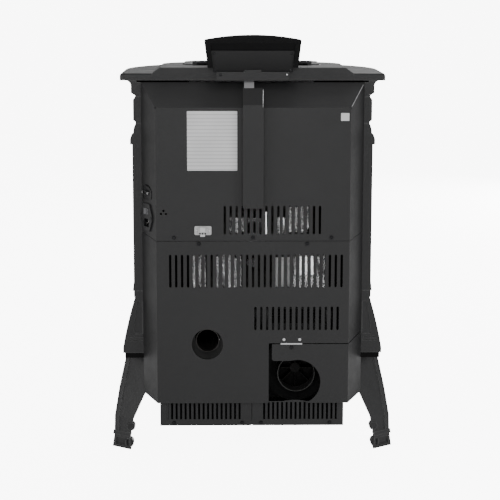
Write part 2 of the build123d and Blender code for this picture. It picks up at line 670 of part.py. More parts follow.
with BuildPart() as cover_bracket:
    with BuildSketch(across(back(SHEET))):
        with Locations((BRACKET_X, HATCH_HIGH + 4)):
            Rectangle(BRACKET_WIDE, 40)
    extrude(amount=SHEET)
    with BuildSketch(across(back(-LIP_OUT))):
        with Locations((BRACKET_X, HATCH_HIGH - HATCH_GAP / 2)):
            Rectangle(BRACKET_WIDE, 1.0)
    extrude(amount=LIP_OUT + SHEET + 0.5)
    with BuildSketch(across(back(-LIP_OUT))):
        with Locations((BRACKET_X, HATCH_HIGH - HATCH_GAP / 2)):
            Rectangle(BRACKET_WIDE, LIP_HEIGHT)
    extrude(amount=LIP_OUT - RUN_GAP)
    # rivets through the lower cover
    with BuildSketch(across(back(0))):
        for rivet_x in RIVET_X:
            with Locations((rivet_x, HATCH_HIGH + 8)):
                Circle(RIVET_R)
    extrude(amount=-1.2, taper=25)
    with BuildSketch(across(back(SHEET))):
        with Locations(*HATCH_SCREWS):
            Circle(SCREW_R + SCREW_FIT)
    extrude(amount=SHEET, mode=Mode.SUBTRACT)
finish(cover_bracket.part, "cover_bracket")

# ---------------------------------------------------------------- perforated skirt panels
SKIRT_DEPTH = 14.0      # front face of the skirt panels
SKIRT_LOW = 62.4
SKIRT_HIGH = 121.0
SKIRT_RIGHT = 195.5     # outer edges of the two panels and the seam between them
SKIRT_LEFT = -192.0
SKIRT_SEAM = 1.7
SKIRT_SPLIT = 0.6
SKIRT_SLOTS = 17
SKIRT_PITCH = 9.5
SKIRT_SLOT_WIDE = 4.4
SKIRT_SLOT_LOW = 76.0
SKIRT_SLOT_X = 26.0     # first slot of each panel, from the seam
SKIRT_SCREW_Z = 68.5
SKIRT_SCREWS = [(166.0, SKIRT_SCREW_Z), (22.0, SKIRT_SCREW_Z), (-18.0, SKIRT_SCREW_Z), (-163.0, SKIRT_SCREW_Z)]
TAB_X = -88.0           # arched tab under the flue
TAB_WIDE = 50.0
LOW_EDGE = CASING_LOW + 0.4
TAB_HIGH = FLUE_Z - FLUE_R - 2.0


def skirt_panel(sign, edge_x, high, tab_high):
    """Perforated panel that closes the fan box under the casing."""
    seam_x = SKIRT_SEAM + sign * SKIRT_SPLIT
    with BuildPart() as panel:
        with BuildSketch(across(back(SKIRT_DEPTH - SHEET))):
            add(outline((seam_x, SKIRT_LOW), (edge_x, SKIRT_LOW), (edge_x, high), (seam_x, high)))
            if tab_high > high:
                with BuildLine():
                    base_line = Line((TAB_X - TAB_WIDE / 2, high), (TAB_X + TAB_WIDE / 2, high))
                    ThreePointArc(base_line @ 0, (TAB_X, tab_high), base_line @ 1)
                make_face()
            for step in range(SKIRT_SLOTS):
                slot_x = SKIRT_SEAM + sign * (SKIRT_SLOT_X + step * SKIRT_PITCH)
                with Locations((slot_x, (SKIRT_SLOT_LOW + high - 2) / 2)):
                    Rectangle(SKIRT_SLOT_WIDE, high - 2 - SKIRT_SLOT_LOW, mode=Mode.SUBTRACT)
        extrude(amount=SHEET)
        add(screw_holes(SKIRT_SCREWS, across(back(SKIRT_DEPTH - SHEET))), mode=Mode.SUBTRACT)
    return panel.part


with BuildPart() as right_skirt_panel:
    add(skirt_panel(1, SKIRT_RIGHT, SKIRT_HIGH, 0))
finish(right_skirt_panel.part, "right_skirt_panel")

with BuildPart() as left_skirt_panel:
    add(skirt_panel(-1, SKIRT_LEFT, LOW_EDGE, TAB_HIGH))
finish(left_skirt_panel.part, "left_skirt_panel")

# ---------------------------------------------------------------- screws of the casing
with BuildPart() as cover_screws:
    add(screws(UPPER_SCREWS + LOWER_SCREWS + HATCH_SCREWS))
    add(screws(SKIRT_SCREWS, across(back(SKIRT_DEPTH - SHEET))))
finish(cover_screws.part, "cover_screws")

# ---------------------------------------------------------------- cable duct and ribbon cable
DUCT_WIDE = 42.0
DUCT_LOW = 531.0
DUCT_WALL = 1.5
BEVEL_LONG = math.hypot(CASING_DEPTH, CASING_TOP - CREASE_HIGH)
BEVEL_Y = CASING_DEPTH / BEVEL_LONG
BEVEL_Z = (CASING_TOP - CREASE_HIGH) / BEVEL_LONG
DUCT_RUN = 39.0         # length of the duct along the bevel


def duct_line(proud, run):
    """Side view of a line that follows the casing at this distance, up to this far along the bevel."""
    bend = CREASE_HIGH + proud * (1 - BEVEL_Y) / BEVEL_Z
    end_y = REAR_Y - run * BEVEL_Y + proud * BEVEL_Z
    end_z = CREASE_HIGH + run * BEVEL_Z + proud * BEVEL_Y
    return (REAR_Y + proud, bend), (end_y, end_z)


duct_out = duct_line(DUCT_PROUD, DUCT_RUN)
duct_skin = duct_line(DUCT_PROUD - DUCT_WALL, DUCT_RUN + 10)
duct_foot = duct_line(0, DUCT_RUN)
duct_hollow = duct_line(-1, DUCT_RUN + 10)

with BuildPart() as cable_duct:
    with BuildSketch(Plane.YZ.offset(-DUCT_WIDE / 2)):
        add(outline((REAR_Y + DUCT_PROUD, DUCT_LOW), *duct_out, *reversed(duct_foot), (REAR_Y, DUCT_LOW)))
    extrude(amount=DUCT_WIDE)
    with BuildSketch(Plane.YZ.offset(-DUCT_WIDE / 2 + DUCT_WALL)):
        add(outline((REAR_Y + DUCT_PROUD - DUCT_WALL, DUCT_LOW + DUCT_WALL), *duct_skin,
                    *reversed(duct_hollow), (REAR_Y - 1, DUCT_LOW + DUCT_WALL)))
    extrude(amount=DUCT_WIDE - 2 * DUCT_WALL, mode=Mode.SUBTRACT)
finish(cable_duct.part, "cable_duct")

RIBBON_WIDE = 20.5
RIBBON_THICK = 1.2
RIBBON_X = 8.0
RIBBON_LOW = 548.0
RIBBON_PROUD = DUCT_PROUD - DUCT_WALL - RUN_GAP - RIBBON_THICK / 2
RIBBON_TOP_DEPTH = 51.0
SHELL_LOW = 814.5       # underside of the console
RIBBON_TOP = SHELL_LOW - 1

ribbon_bend, ribbon_exit = duct_line(RIBBON_PROUD, DUCT_RUN + 4)
with BuildPart() as ribbon_cable:
    with BuildSketch(Plane.YZ.offset(RIBBON_X - RIBBON_WIDE / 2)):
        with BuildLine() as ribbon_line:
            FilletPolyline((REAR_Y + RIBBON_PROUD, RIBBON_LOW), ribbon_bend, ribbon_exit,
                           (back(RIBBON_TOP_DEPTH), RIBBON_TOP - 27), (back(RIBBON_TOP_DEPTH), RIBBON_TOP),
                           radius=4)
        trace(line_width=RIBBON_THICK)
    extrude(amount=RIBBON_WIDE)
finish(ribbon_cable.part, "ribbon_cable")

# ---------------------------------------------------------------- legs
LEG_TURN = 35.0         # wide face of a rear leg, turned out of the back plane
LEG_TOP_THICK = 30.0
LEG_FOOT_WIDE = 45.0
LEG_FOOT_THICK = 24.0
LEG_SPLAY = 52.0        # how far the foot stands out from the top, along the face's normal
FOOT_X = BODY_HALF + 31.0        # middle of the outer face of a rear foot
FOOT_DEPTH = 62.0
PAD_HIGH = 27.0
PAD_FLARE = 3.0
COLLAR_HIGH = 9.0
SHIN_LOW = PAD_HIGH + COLLAR_HIGH
RIDGE_WIDE = 5.0        # raised ridge beside the outer edge of the shin
RIDGE_OUT = 1.8
LIP_HIGH = 7.0
BOX_HALF = 190.0        # fan box between the rear legs
BOX_FRONT = 222.5
BOX_LOW = 64.0
FRONT_LEG_ANGLE = 38.0  # front legs, round the bow
FRONT_FOOT_R = BODY_HALF + 52.0

# height, outer and inner edge of the wide face, its distance behind the foot's face, thickness
SHIN_LEVELS = ((SHIN_LOW, LEG_FOOT_WIDE / 2 + 1, -LEG_FOOT_WIDE / 2, 2.0, LEG_FOOT_THICK),
               (66.0, LEG_FOOT_WIDE / 2 + 4, -LEG_FOOT_WIDE / 2 - 3, 7.0, LEG_FOOT_THICK),
               (125.0, LEG_FOOT_WIDE / 2 + 5.5, -LEG_FOOT_WIDE, LEG_SPLAY / 2, LEG_FOOT_THICK + 3),
               (BASE_LOW, LEG_FOOT_WIDE / 2 + 4, -70.0, LEG_SPLAY, LEG_TOP_THICK))


def leg_section(outer, inner, face, deep, turn):
    """Section of a leg behind its wide face; the inner side runs straight to the front."""
    lean = deep * math.tan(math.radians(turn))
    return outline((outer, face), (inner, face), (inner + lean, face - deep), (outer, face - deep))


def leg(foot_x, foot_y, turn):
    """Cast leg for the +X side: tapering shin with a ridge, collar, framed pad and scrolled heel.

    Its own x axis runs along the wide face to the outer edge, and y points outwards.
    """
    frame = Plane(origin=(foot_x, foot_y, 0), z_dir=(0, 0, 1)).rotated((0, 0, -turn))
    half = LEG_FOOT_WIDE / 2
    with BuildPart() as limb:
        for height, outer, inner, inward, thick in SHIN_LEVELS:
            with BuildSketch(frame.offset(height)):
                add(leg_section(outer, inner, -inward, thick, turn))
        loft(ruled=True)
        for height, outer, inner, inward, thick in SHIN_LEVELS:
            with BuildSketch(frame.offset(height)):
                with Locations((outer - 2.2 * RIDGE_WIDE, -inward)):
                    Rectangle(RIDGE_WIDE, 2 * RIDGE_OUT)
        loft(ruled=True)
        # lip round the top
        top_height, top_outer, top_inner, top_inward, top_thick = SHIN_LEVELS[-1]
        with BuildSketch(frame.offset(BASE_LOW - LIP_HIGH)):
            add(leg_section(top_outer, top_inner, 2.5 - top_inward, top_thick + 5, turn))
        extrude(amount=LIP_HIGH)
        # collar and pad
        with BuildSketch(frame.offset(PAD_HIGH)):
            add(leg_section(half + 3, -half - 1.5, 1.5, LEG_FOOT_THICK + 3, turn))
        extrude(amount=COLLAR_HIGH, taper=8)
        with BuildSketch(frame.offset(0)):
            add(leg_section(half + PAD_FLARE, -half - PAD_FLARE, PAD_FLARE, LEG_FOOT_THICK + 2 * PAD_FLARE, turn))
        extrude(amount=PAD_HIGH, taper=math.degrees(math.atan(PAD_FLARE / PAD_HIGH)))
        # scrolled heel on the inner side
        heel_x = -half * math.cos(math.radians(turn))
        heel_y = half * math.sin(math.radians(turn))
        with BuildSketch(Plane(origin=(foot_x, foot_y + heel_y - 3, 0), x_dir=(1, 0, 0), z_dir=(0, -1, 0))):
            with Locations((heel_x - 0.5, SHIN_LOW + 13)):
                Circle(9)
            with Locations((heel_x + 3.5, PAD_HIGH / 2)):
                Circle(10)
        extrude(amount=LEG_FOOT_THICK - 6)
        # sunk panel in the pad's face
        pad_face = Plane(origin=(foot_x, foot_y, 0), x_dir=frame.x_dir, z_dir=-frame.y_dir)
        with BuildSketch(pad_face.offset(-PAD_FLARE)):
            with Locations((0, PAD_HIGH / 2)):
                Rectangle(LEG_FOOT_WIDE - 10, PAD_HIGH - 11)
        extrude(amount=PAD_FLARE + 1, mode=Mode.SUBTRACT)
    return limb.part


rear_shape = leg(FOOT_X, back(FOOT_DEPTH), LEG_TURN)
front_turn = math.radians(FRONT_LEG_ANGLE)
front_foot_y = BOW_Y - FRONT_FOOT_R * math.cos(front_turn)
front_shape = leg(FRONT_FOOT_R * math.sin(front_turn), -front_foot_y, FRONT_LEG_ANGLE)

with BuildPart() as rear_right_leg:
    add(rear_shape)
    # corner cut away beside the fan box
    with BuildSketch(Plane.XY.offset(BOX_LOW)):
        with Locations((0, back(BOX_FRONT / 2))):
            Rectangle(2 * (BOX_HALF + RUN_GAP), BOX_FRONT)
    extrude(amount=BASE_LOW - BOX_LOW, mode=Mode.SUBTRACT)
finish(rear_right_leg.part, "rear_right_leg")

with BuildPart() as rear_left_leg:
    mirror(rear_right_leg.part, about=Plane.YZ)
finish(rear_left_leg.part, "rear_left_leg")

with BuildPart() as front_right_leg:
    mirror(front_shape, about=Plane.XZ)
finish(front_right_leg.part, "front_right_leg")

with BuildPart() as front_left_leg:
    mirror(front_right_leg.part, about=Plane.YZ)
finish(front_left_leg.part, "front_left_leg")

# ---------------------------------------------------------------- fan box under the body
BOX_SHEET = 1.5
BOX_FLANGE = 12.0

with BuildPart() as underbody_box:
    with BuildSketch(Plane.XY.offset(BOX_LOW)):
        with Locations((0, back((SKIRT_DEPTH + BOX_FRONT) / 2))):
            Rectangle(2 * BOX_HALF, BOX_FRONT - SKIRT_DEPTH)
    extrude(amount=BASE_LOW - BOX_LOW)
    with BuildSketch(Plane.XY.offset(BOX_LOW + BOX_SHEET)):
        with Locations((0, back((SKIRT_DEPTH + BOX_FRONT) / 2))):
            Rectangle(2 * (BOX_HALF - BOX_SHEET), BOX_FRONT - SKIRT_DEPTH - 2 * BOX_SHEET)
    extrude(amount=BASE_LOW, mode=Mode.SUBTRACT)
    # the back is open inside a narrow flange
    with BuildSketch(across(back(SKIRT_DEPTH - 1))):
        add(outline((-BOX_HALF + BOX_FLANGE, BOX_LOW + BOX_FLANGE), (BOX_HALF - BOX_FLANGE, BOX_LOW + BOX_FLANGE),
                    (BOX_HALF - BOX_FLANGE, BASE_LOW + 5), (-BOX_HALF + BOX_FLANGE, BASE_LOW + 5)))
        with Locations(*SKIRT_SCREWS):
            Circle(SCREW_R + SCREW_FIT)
    extrude(amount=BOX_SHEET + 2, mode=Mode.SUBTRACT)
finish(underbody_box.part, "underbody_box")

# ---------------------------------------------------------------- smoke fan and flue
FAN_R = 70.0
FAN_BACK = 112.0
FAN_FRONT = 160.0
FAN_WALL = 2.5
IMPELLER_R = 58.0
IMPELLER_BLADES = 8
SHAFT_R = 4.0
CHANNEL_HALF = 30.0     # smoke channel, half width about the flue's X
CHANNEL_BACK = 114.0
CHANNEL_FRONT = 158.0
NECK_HIGH = 232.0

with BuildPart() as smoke_fan_housing:
    with BuildSketch(across(back(FAN_BACK))):
        with Locations((FLUE_X, FLUE_Z)):
            Circle(FAN_R)
    extrude(amount=FAN_FRONT - FAN_BACK)
    with BuildSketch(Plane.XY.offset(FLUE_Z)):
        with Locations((FLUE_X, back((CHANNEL_BACK + CHANNEL_FRONT) / 2))):
            Rectangle(2 * CHANNEL_HALF, CHANNEL_FRONT - CHANNEL_BACK)
    extrude(amount=NECK_HIGH - FLUE_Z)
    with BuildSketch(across(back(FAN_BACK + FAN_WALL))):
        with Locations((FLUE_X, FLUE_Z)):
            Circle(FAN_R - FAN_WALL)
    extrude(amount=FAN_FRONT - FAN_BACK - 2 * FAN_WALL, mode=Mode.SUBTRACT)
    with BuildSketch(Plane.XY.offset(FLUE_Z)):
        with Locations((FLUE_X, back((CHANNEL_BACK + CHANNEL_FRONT) / 2))):
            Rectangle(2 * (CHANNEL_HALF - FAN_WALL), CHANNEL_FRONT - CHANNEL_BACK - 2 * FAN_WALL)
    extrude(amount=NECK_HIGH, mode=Mode.SUBTRACT)
    with BuildSketch(across(back(FAN_BACK - 1))):
        with Locations((FLUE_X, FLUE_Z)):
            Circle(FLUE_R - FLUE_WALL)
    extrude(amount=FAN_WALL + 2, mode=Mode.SUBTRACT)
    with BuildSketch(across(back(FAN_FRONT - FAN_WALL - 1))):
        with Locations((FLUE_X, FLUE_Z)):
            Circle(SHAFT_R + PIN_FIT)
    extrude(amount=FAN_WALL + 2, mode=Mode.SUBTRACT)
finish(smoke_fan_housing.part, "smoke_fan_housing")

with BuildPart() as smoke_fan_impeller:
    with BuildSketch(across(back(FAN_FRONT - FAN_WALL - 6))):
        with Locations((FLUE_X, FLUE_Z)):
            Circle(IMPELLER_R)
    extrude(amount=2)
    with BuildSketch(across(back(FAN_BACK + FAN_WALL + 8))):
        with Locations((FLUE_X, FLUE_Z)):
            Circle(11)
            with PolarLocations((IMPELLER_R + 9) / 2, IMPELLER_BLADES):
                Rectangle(IMPELLER_R - 9, 2)
    extrude(amount=FAN_FRONT - FAN_BACK - 2 * FAN_WALL - 14)
    with BuildSketch(across(back(FAN_FRONT - FAN_WALL - 10))):
        with Locations((FLUE_X, FLUE_Z)):
            Circle(SHAFT_R)
    extrude(amount=FAN_WALL + 20)
finish(smoke_fan_impeller.part, "smoke_fan_impeller")

with BuildPart() as smoke_fan_motor:
    with BuildSketch(across(back(FAN_FRONT))):
        with Locations((FLUE_X, FLUE_Z)):
            Circle(32)
    extrude(amount=16)
    with BuildSketch(across(back(FAN_FRONT + 16))):
        with Locations((FLUE_X, FLUE_Z)):
            RectangleRounded(56, 56, 6)
    extrude(amount=22)
    with BuildSketch(across(back(FAN_FRONT + 38))):
        with Locations((FLUE_X, FLUE_Z)):
            Circle(24)
    extrude(amount=14, taper=8)
    with BuildSketch(across(back(FAN_FRONT - 1))):
        with Locations((FLUE_X, FLUE_Z)):
            Circle(SHAFT_R + PIN_FIT)
    extrude(amount=17, mode=Mode.SUBTRACT)
finish(smoke_fan_motor.part, "smoke_fan_motor")

with BuildPart() as exhaust_pipe:
    with BuildSketch(across(back(FLUE_DEPTH))):
        with Locations((FLUE_X, FLUE_Z)):
            Circle(FLUE_R)
    extrude(amount=FAN_BACK - FLUE_DEPTH)
    with BuildSketch(across(back(FAN_BACK - 2))):
        with Locations((FLUE_X, FLUE_Z)):
            Circle(FLUE_R + 13)
    extrude(amount=2)
    with BuildSketch(across(back(FLUE_DEPTH - 1))):
        with Locations((FLUE_X, FLUE_Z)):
            Circle(FLUE_R - FLUE_WALL)
    extrude(amount=FAN_BACK - FLUE_DEPTH + 2, mode=Mode.SUBTRACT)
finish(exhaust_pipe.part, "exhaust_pipe")

# ---------------------------------------------------------------- firebox
FIRE_HALF = 140.0
FIRE_BACK = 250.0
FIRE_LOW = 352.0
FIRE_HIGH = 640.0
FIRE_WALL = 4.0
FIRE_FRONT_R = BODY_IN - 12.0    # its open front follows the bow
AUGER_LOW_DEPTH = 108.0
AUGER_LOW_Z = 485.0
AUGER_HIGH_Z = 585.0
AUGER_R = 30.0
AUGER_WALL = 1.7
IGNITER_R = 6.0
IGNITER_Z = 376.0
BAFFLE_BACK = 300.0
BAFFLE_FRONT = 400.0
BAFFLE_SHEET = 3.0
BAFFLE_LOW = 17.0       # its front edge, under the top of the firebox
BAFFLE_FALL = 20.6      # and how much lower its back is
POT_WIDE = 92.0
POT_LONG = 86.0
POT_HIGH = 58.0
POT_DEPTH = 335.0
POT_WALL = 4.0
POT_MID = back(POT_DEPTH)
POT_FLOOR = FIRE_LOW + FIRE_WALL
DUCT_IN_Z = 405.0       # combustion air enters the firebox here

auger_run = Vector(0, back(FIRE_BACK) - back(AUGER_LOW_DEPTH), AUGER_HIGH_Z - AUGER_LOW_Z)
AUGER_LONG = auger_run.length
auger_plane = Plane(origin=(0, back(AUGER_LOW_DEPTH), AUGER_LOW_Z), x_dir=(1, 0, 0), z_dir=auger_run)


def behind(depth, low, high):
    """Everything behind this depth."""
    with BuildPart() as space:
        with BuildSketch(across(back(depth))):
            with Locations((0, (low + high) / 2)):
                Rectangle(4 * TOP_HALF, high - low)
        extrude(amount=-2 * TOP_HALF)
    return space.part


with BuildPart() as fire_inside:
    with BuildSketch(Plane.XY.offset(FIRE_LOW + FIRE_WALL)):
        with Locations((0, back(FIRE_BACK + FIRE_WALL) - TOP_HALF / 2)):
            Rectangle(2 * (FIRE_HALF - FIRE_WALL), TOP_HALF)
    extrude(amount=FIRE_HIGH - FIRE_LOW - 2 * FIRE_WALL)

with BuildPart() as firebox:
    with BuildSketch(Plane.XY.offset(FIRE_LOW)):
        with Locations((0, back(FIRE_BACK) - TOP_HALF / 2)):
            Rectangle(2 * FIRE_HALF, TOP_HALF)
        with Locations((0, BOW_Y)):
            Circle(FIRE_FRONT_R, mode=Mode.INTERSECT)
    extrude(amount=FIRE_HIGH - FIRE_LOW)
    add(fire_inside.part, mode=Mode.SUBTRACT)
    with BuildSketch(auger_plane.offset(AUGER_LONG - 30)):
        Circle(AUGER_R - AUGER_WALL)
    extrude(amount=60, mode=Mode.SUBTRACT)
    # igniter, combustion air, smoke outlet and ash fall
    with BuildSketch(across(back(FIRE_BACK - 1))):
        with Locations((0, IGNITER_Z)):
            Circle(IGNITER_R + PIN_FIT)
        with Locations((INTAKE_X, DUCT_IN_Z)):
            Circle(INTAKE_R - INTAKE_WALL)
        with Locations((FLUE_X, FIRE_LOW + 35)):
            Rectangle(44, 38)
    extrude(amount=FIRE_WALL + 2, mode=Mode.SUBTRACT)
    with BuildSketch(Plane.XY.offset(FIRE_LOW - 1)):
        with Locations((0, POT_MID)):
            Rectangle(POT_WIDE - 20, POT_LONG - 20)
    extrude(amount=FIRE_WALL + 2, mode=Mode.SUBTRACT)
finish(firebox.part, "firebox")

with BuildPart() as baffle:
    with BuildSketch(Plane.YZ.offset(-FIRE_HALF + FIRE_WALL + RUN_GAP)):
        corner = BAFFLE_BACK + BAFFLE_SHEET
        corner_fall = BAFFLE_FALL * (BAFFLE_FRONT - corner) / (BAFFLE_FRONT - BAFFLE_BACK)
        add(outline((back(corner), FIRE_HIGH - FIRE_WALL),
                    (back(corner), FIRE_HIGH - BAFFLE_LOW + BAFFLE_SHEET - corner_fall),
                    (back(BAFFLE_FRONT), FIRE_HIGH - BAFFLE_LOW + BAFFLE_SHEET),
                    (back(BAFFLE_FRONT), FIRE_HIGH - BAFFLE_LOW),
                    (back(BAFFLE_BACK), FIRE_HIGH - BAFFLE_LOW - BAFFLE_FALL),
                    (back(BAFFLE_BACK), FIRE_HIGH - FIRE_WALL)))
    extrude(amount=2 * (FIRE_HALF - FIRE_WALL - RUN_GAP))
finish(baffle.part, "baffle")

with BuildPart() as burn_pot:
    with BuildSketch(Plane.XY.offset(POT_FLOOR)):
        with Locations((0, POT_MID)):
            RectangleRounded(POT_WIDE, POT_LONG, 10)
    extrude(amount=POT_HIGH)
    with BuildSketch(Plane.XY.offset(POT_FLOOR + 14)):
        with Locations((0, POT_MID)):
            RectangleRounded(POT_WIDE - 2 * POT_WALL, POT_LONG - 2 * POT_WALL, 7)
    extrude(amount=POT_HIGH, mode=Mode.SUBTRACT)
    with BuildSketch(Plane.XY.offset(POT_FLOOR)):
        with Locations((0, POT_MID)):
            with GridLocations(18, 18, 4, 4):
                Circle(3)
    extrude(amount=POT_HIGH, mode=Mode.SUBTRACT)
finish(burn_pot.part, "burn_pot")

CHUTE_HALF = 27.0
CHUTE_WALL = 2.0
CHUTE_LOW = 548.0
CHUTE_REACH = 51.0
CHUTE_DROP = 60.0
CHUTE_DEEP = 45.0


def chute_side(shrink, extra):
    """Side view of the chute, thinned by its wall and lengthened past both ends."""
    slope = math.hypot(CHUTE_REACH, CHUTE_DROP)
    run = (CHUTE_REACH / slope, -CHUTE_DROP / slope)
    rise = (CHUTE_DROP / slope, CHUTE_REACH / slope)
    start_back = FIRE_BACK + FIRE_WALL - extra
    low_z = CHUTE_LOW + shrink / run[0] + extra * CHUTE_DROP / CHUTE_REACH
    deep = CHUTE_DEEP - 2 * shrink
    end = (start_back + run[0] * (slope + 3 * extra), low_z + run[1] * (slope + 3 * extra))
    far = (end[0] + rise[0] * deep, end[1] + rise[1] * deep)
    top_z = far[1] + (far[0] - start_back) * CHUTE_DROP / CHUTE_REACH
    return outline((back(start_back), low_z), (back(end[0]), end[1]), (back(far[0]), far[1]),
                   (back(start_back), top_z))


with BuildPart() as pellet_chute:
    with BuildSketch(Plane.YZ.offset(-CHUTE_HALF)):
        add(chute_side(0, 0))
    extrude(amount=2 * CHUTE_HALF)
    with BuildSketch(Plane.YZ.offset(-CHUTE_HALF + CHUTE_WALL)):
        add(chute_side(CHUTE_WALL, 4))
    extrude(amount=2 * (CHUTE_HALF - CHUTE_WALL), mode=Mode.SUBTRACT)
finish(pellet_chute.part, "pellet_chute")

with BuildPart() as igniter:
    with BuildSketch(across(back(FIRE_BACK - 36))):
        with Locations((0, IGNITER_Z)):
            Circle(IGNITER_R)
    extrude(amount=POT_LONG / -2 + back(FIRE_BACK - 36) - POT_MID - RUN_GAP)
    with BuildSketch(across(back(FIRE_BACK - 40))):
        with Locations((0, IGNITER_Z)):
            RegularPolygon(11, 6)
    extrude(amount=20)
finish(igniter.part, "igniter")

with BuildPart() as smoke_channel:
    with BuildSketch(Plane.YZ.offset(FLUE_X - CHANNEL_HALF)):
        add(outline((back(CHANNEL_BACK), NECK_HIGH), (back(CHANNEL_FRONT), NECK_HIGH),
                    (back(CHANNEL_FRONT), FIRE_LOW + 8), (back(FIRE_BACK), FIRE_LOW + 8),
                    (back(FIRE_BACK), FIRE_LOW + 62), (back(CHANNEL_BACK), FIRE_LOW + 62)))
    extrude(amount=2 * CHANNEL_HALF)
    with BuildSketch(Plane.YZ.offset(FLUE_X - CHANNEL_HALF + FAN_WALL)):
        add(outline((back(CHANNEL_BACK + FAN_WALL), NECK_HIGH - 1), (back(CHANNEL_FRONT - FAN_WALL), NECK_HIGH - 1),
                    (back(CHANNEL_FRONT - FAN_WALL), FIRE_LOW + 10.5), (back(FIRE_BACK - FAN_WALL), FIRE_LOW + 10.5),
                    (back(FIRE_BACK - FAN_WALL), FIRE_LOW + 59.5), (back(CHANNEL_BACK + FAN_WALL), FIRE_LOW + 59.5)))
    extrude(amount=2 * (CHANNEL_HALF - FAN_WALL), mode=Mode.SUBTRACT)
finish(smoke_channel.part, "smoke_channel")

# ---------------------------------------------------------------- ash housing and drawer
ASH_HALF = 125.0
ASH_BACK = 240.0
ASH_WALL = 3.0
ASH_SHELF = 296.5       # the drawer runs on this shelf
ASH_SHELF_THICK = 2.5
TRAY_HALF = 110.0
TRAY_BACK = 246.0
TRAY_WALL = 2.5
DRAWER_FRONT_R = DOOR_OUT_R + 3.0
DRAWER_PULL_R = DRAWER_FRONT_R + 14.0
TRAY_FRONT_R = DRAWER_FRONT_R - 8.0


def box_to_bow(half, rear_depth, low, high, bow_r):
    """Box that reaches forward to a bow of this radius."""
    with BuildPart() as box:
        with BuildSketch(Plane.XY.offset(low)):
            with Locations((0, back(rear_depth) - TOP_HALF / 2)):
                Rectangle(2 * half, TOP_HALF)
            with Locations((0, BOW_Y)):
                Circle(bow_r, mode=Mode.INTERSECT)
        extrude(amount=high - low)
    return box.part


with BuildPart() as ash_housing:
    add(box_to_bow(ASH_HALF, ASH_BACK, BASE_HIGH, FIRE_LOW, FIRE_FRONT_R))
    add(box_to_bow(ASH_HALF - ASH_WALL, ASH_BACK + ASH_WALL, ASH_SHELF, FIRE_LOW, TOP_HALF), mode=Mode.SUBTRACT)
    add(box_to_bow(ASH_HALF - ASH_WALL, ASH_BACK + ASH_WALL, BASE_HIGH, ASH_SHELF - ASH_SHELF_THICK, TOP_HALF),
        mode=Mode.SUBTRACT)
finish(ash_housing.part, "ash_housing")

with BuildPart() as drawer_pull:
    add(bow_shell(DRAWER_FRONT_R - 1, DRAWER_PULL_R, DRAWER_LOW + 14, DRAWER_LOW + 30))
    add(bow_shell(DRAWER_FRONT_R - 1, DRAWER_PULL_R - 6, DRAWER_LOW + 10, DRAWER_LOW + 24), mode=Mode.SUBTRACT)
    add(bow_sector(7, DRAWER_LOW, DRAWER_HIGH), mode=Mode.INTERSECT)

with BuildPart() as ash_drawer:
    add(box_to_bow(TRAY_HALF, TRAY_BACK, DRAWER_LOW, DRAWER_HIGH - 4, TRAY_FRONT_R))
    add(bow_shell(TRAY_FRONT_R - 4, DRAWER_FRONT_R, DRAWER_LOW, DRAWER_HIGH))
    with BuildSketch(Plane.XY.offset(DRAWER_LOW)):
        with Locations((0, back(TRAY_BACK) - TOP_HALF / 2)):
            Rectangle(2 * DRAWER_HALF, TOP_HALF)
    extrude(amount=DRAWER_HIGH - DRAWER_LOW, mode=Mode.INTERSECT)
    add(box_to_bow(TRAY_HALF - TRAY_WALL, TRAY_BACK + TRAY_WALL, DRAWER_LOW + TRAY_WALL, FIRE_LOW,
                   TRAY_FRONT_R - TRAY_WALL), mode=Mode.SUBTRACT)
    add(drawer_pull.part)
finish(ash_drawer.part, "ash_drawer")

# ---------------------------------------------------------------- hopper and feed screw
HOPPER_SHEET = 1.5
HOPPER_FLANGE = 7.0
HOPPER_SEAM = 0.1       # gap between its folded sides
THROAT_HALF = 25.0
THROAT_BACK = 138.0
THROAT_FRONT = 188.0
THROAT_HIGH = 600.0
THROAT_LOW = 523.0
MOUTH_HALF = LID_HALF - REBATE_WIDE
MOUTH_LONG = LID_LONG - 2 * REBATE_WIDE


def between_sides(plane, run, throat, mouth, inset, flange=0.0):
    """Solid between two opposite sides of the hopper; throat and mouth are (middle, half width)."""
    places = []
    for sign in (-1, 1):
        corner = throat[0] + sign * (throat[1] - inset)
        rim = mouth[0] + sign * (mouth[1] - inset)
        side = [(corner, THROAT_LOW), (corner, THROAT_HIGH)]
        if flange:
            side += [(rim, TOP_LOW - HOPPER_SHEET), (rim + sign * flange, TOP_LOW - HOPPER_SHEET),
                     (rim + sign * flange, TOP_LOW)]
        else:
            side += [(rim, TOP_LOW)]
        places += side if sign > 0 else reversed(side)
    with BuildPart() as body:
        with BuildSketch(plane):
            add(outline(*places))
        extrude(amount=run)
    return body.part


def between_flanks(inset, flange=0.0):
    """Solid between the left and the right side of the hopper."""
    return between_sides(across(LID_MID + TOP_HALF), 2 * TOP_HALF, (0, THROAT_HALF), (0, MOUTH_HALF), inset, flange)


def between_ends(inset, flange=0.0):
    """Solid between the front and the back of the hopper."""
    throat = (back((THROAT_BACK + THROAT_FRONT) / 2), (THROAT_FRONT - THROAT_BACK) / 2)
    return between_sides(Plane.YZ.offset(-TOP_HALF), 2 * TOP_HALF, throat, (LID_MID, MOUTH_LONG / 2), inset, flange)


with BuildPart() as hopper_ends:
    add(between_ends(0, HOPPER_FLANGE))
    add(between_ends(HOPPER_SHEET), mode=Mode.SUBTRACT)
    add(between_flanks(HOPPER_SHEET + HOPPER_SEAM), mode=Mode.INTERSECT)

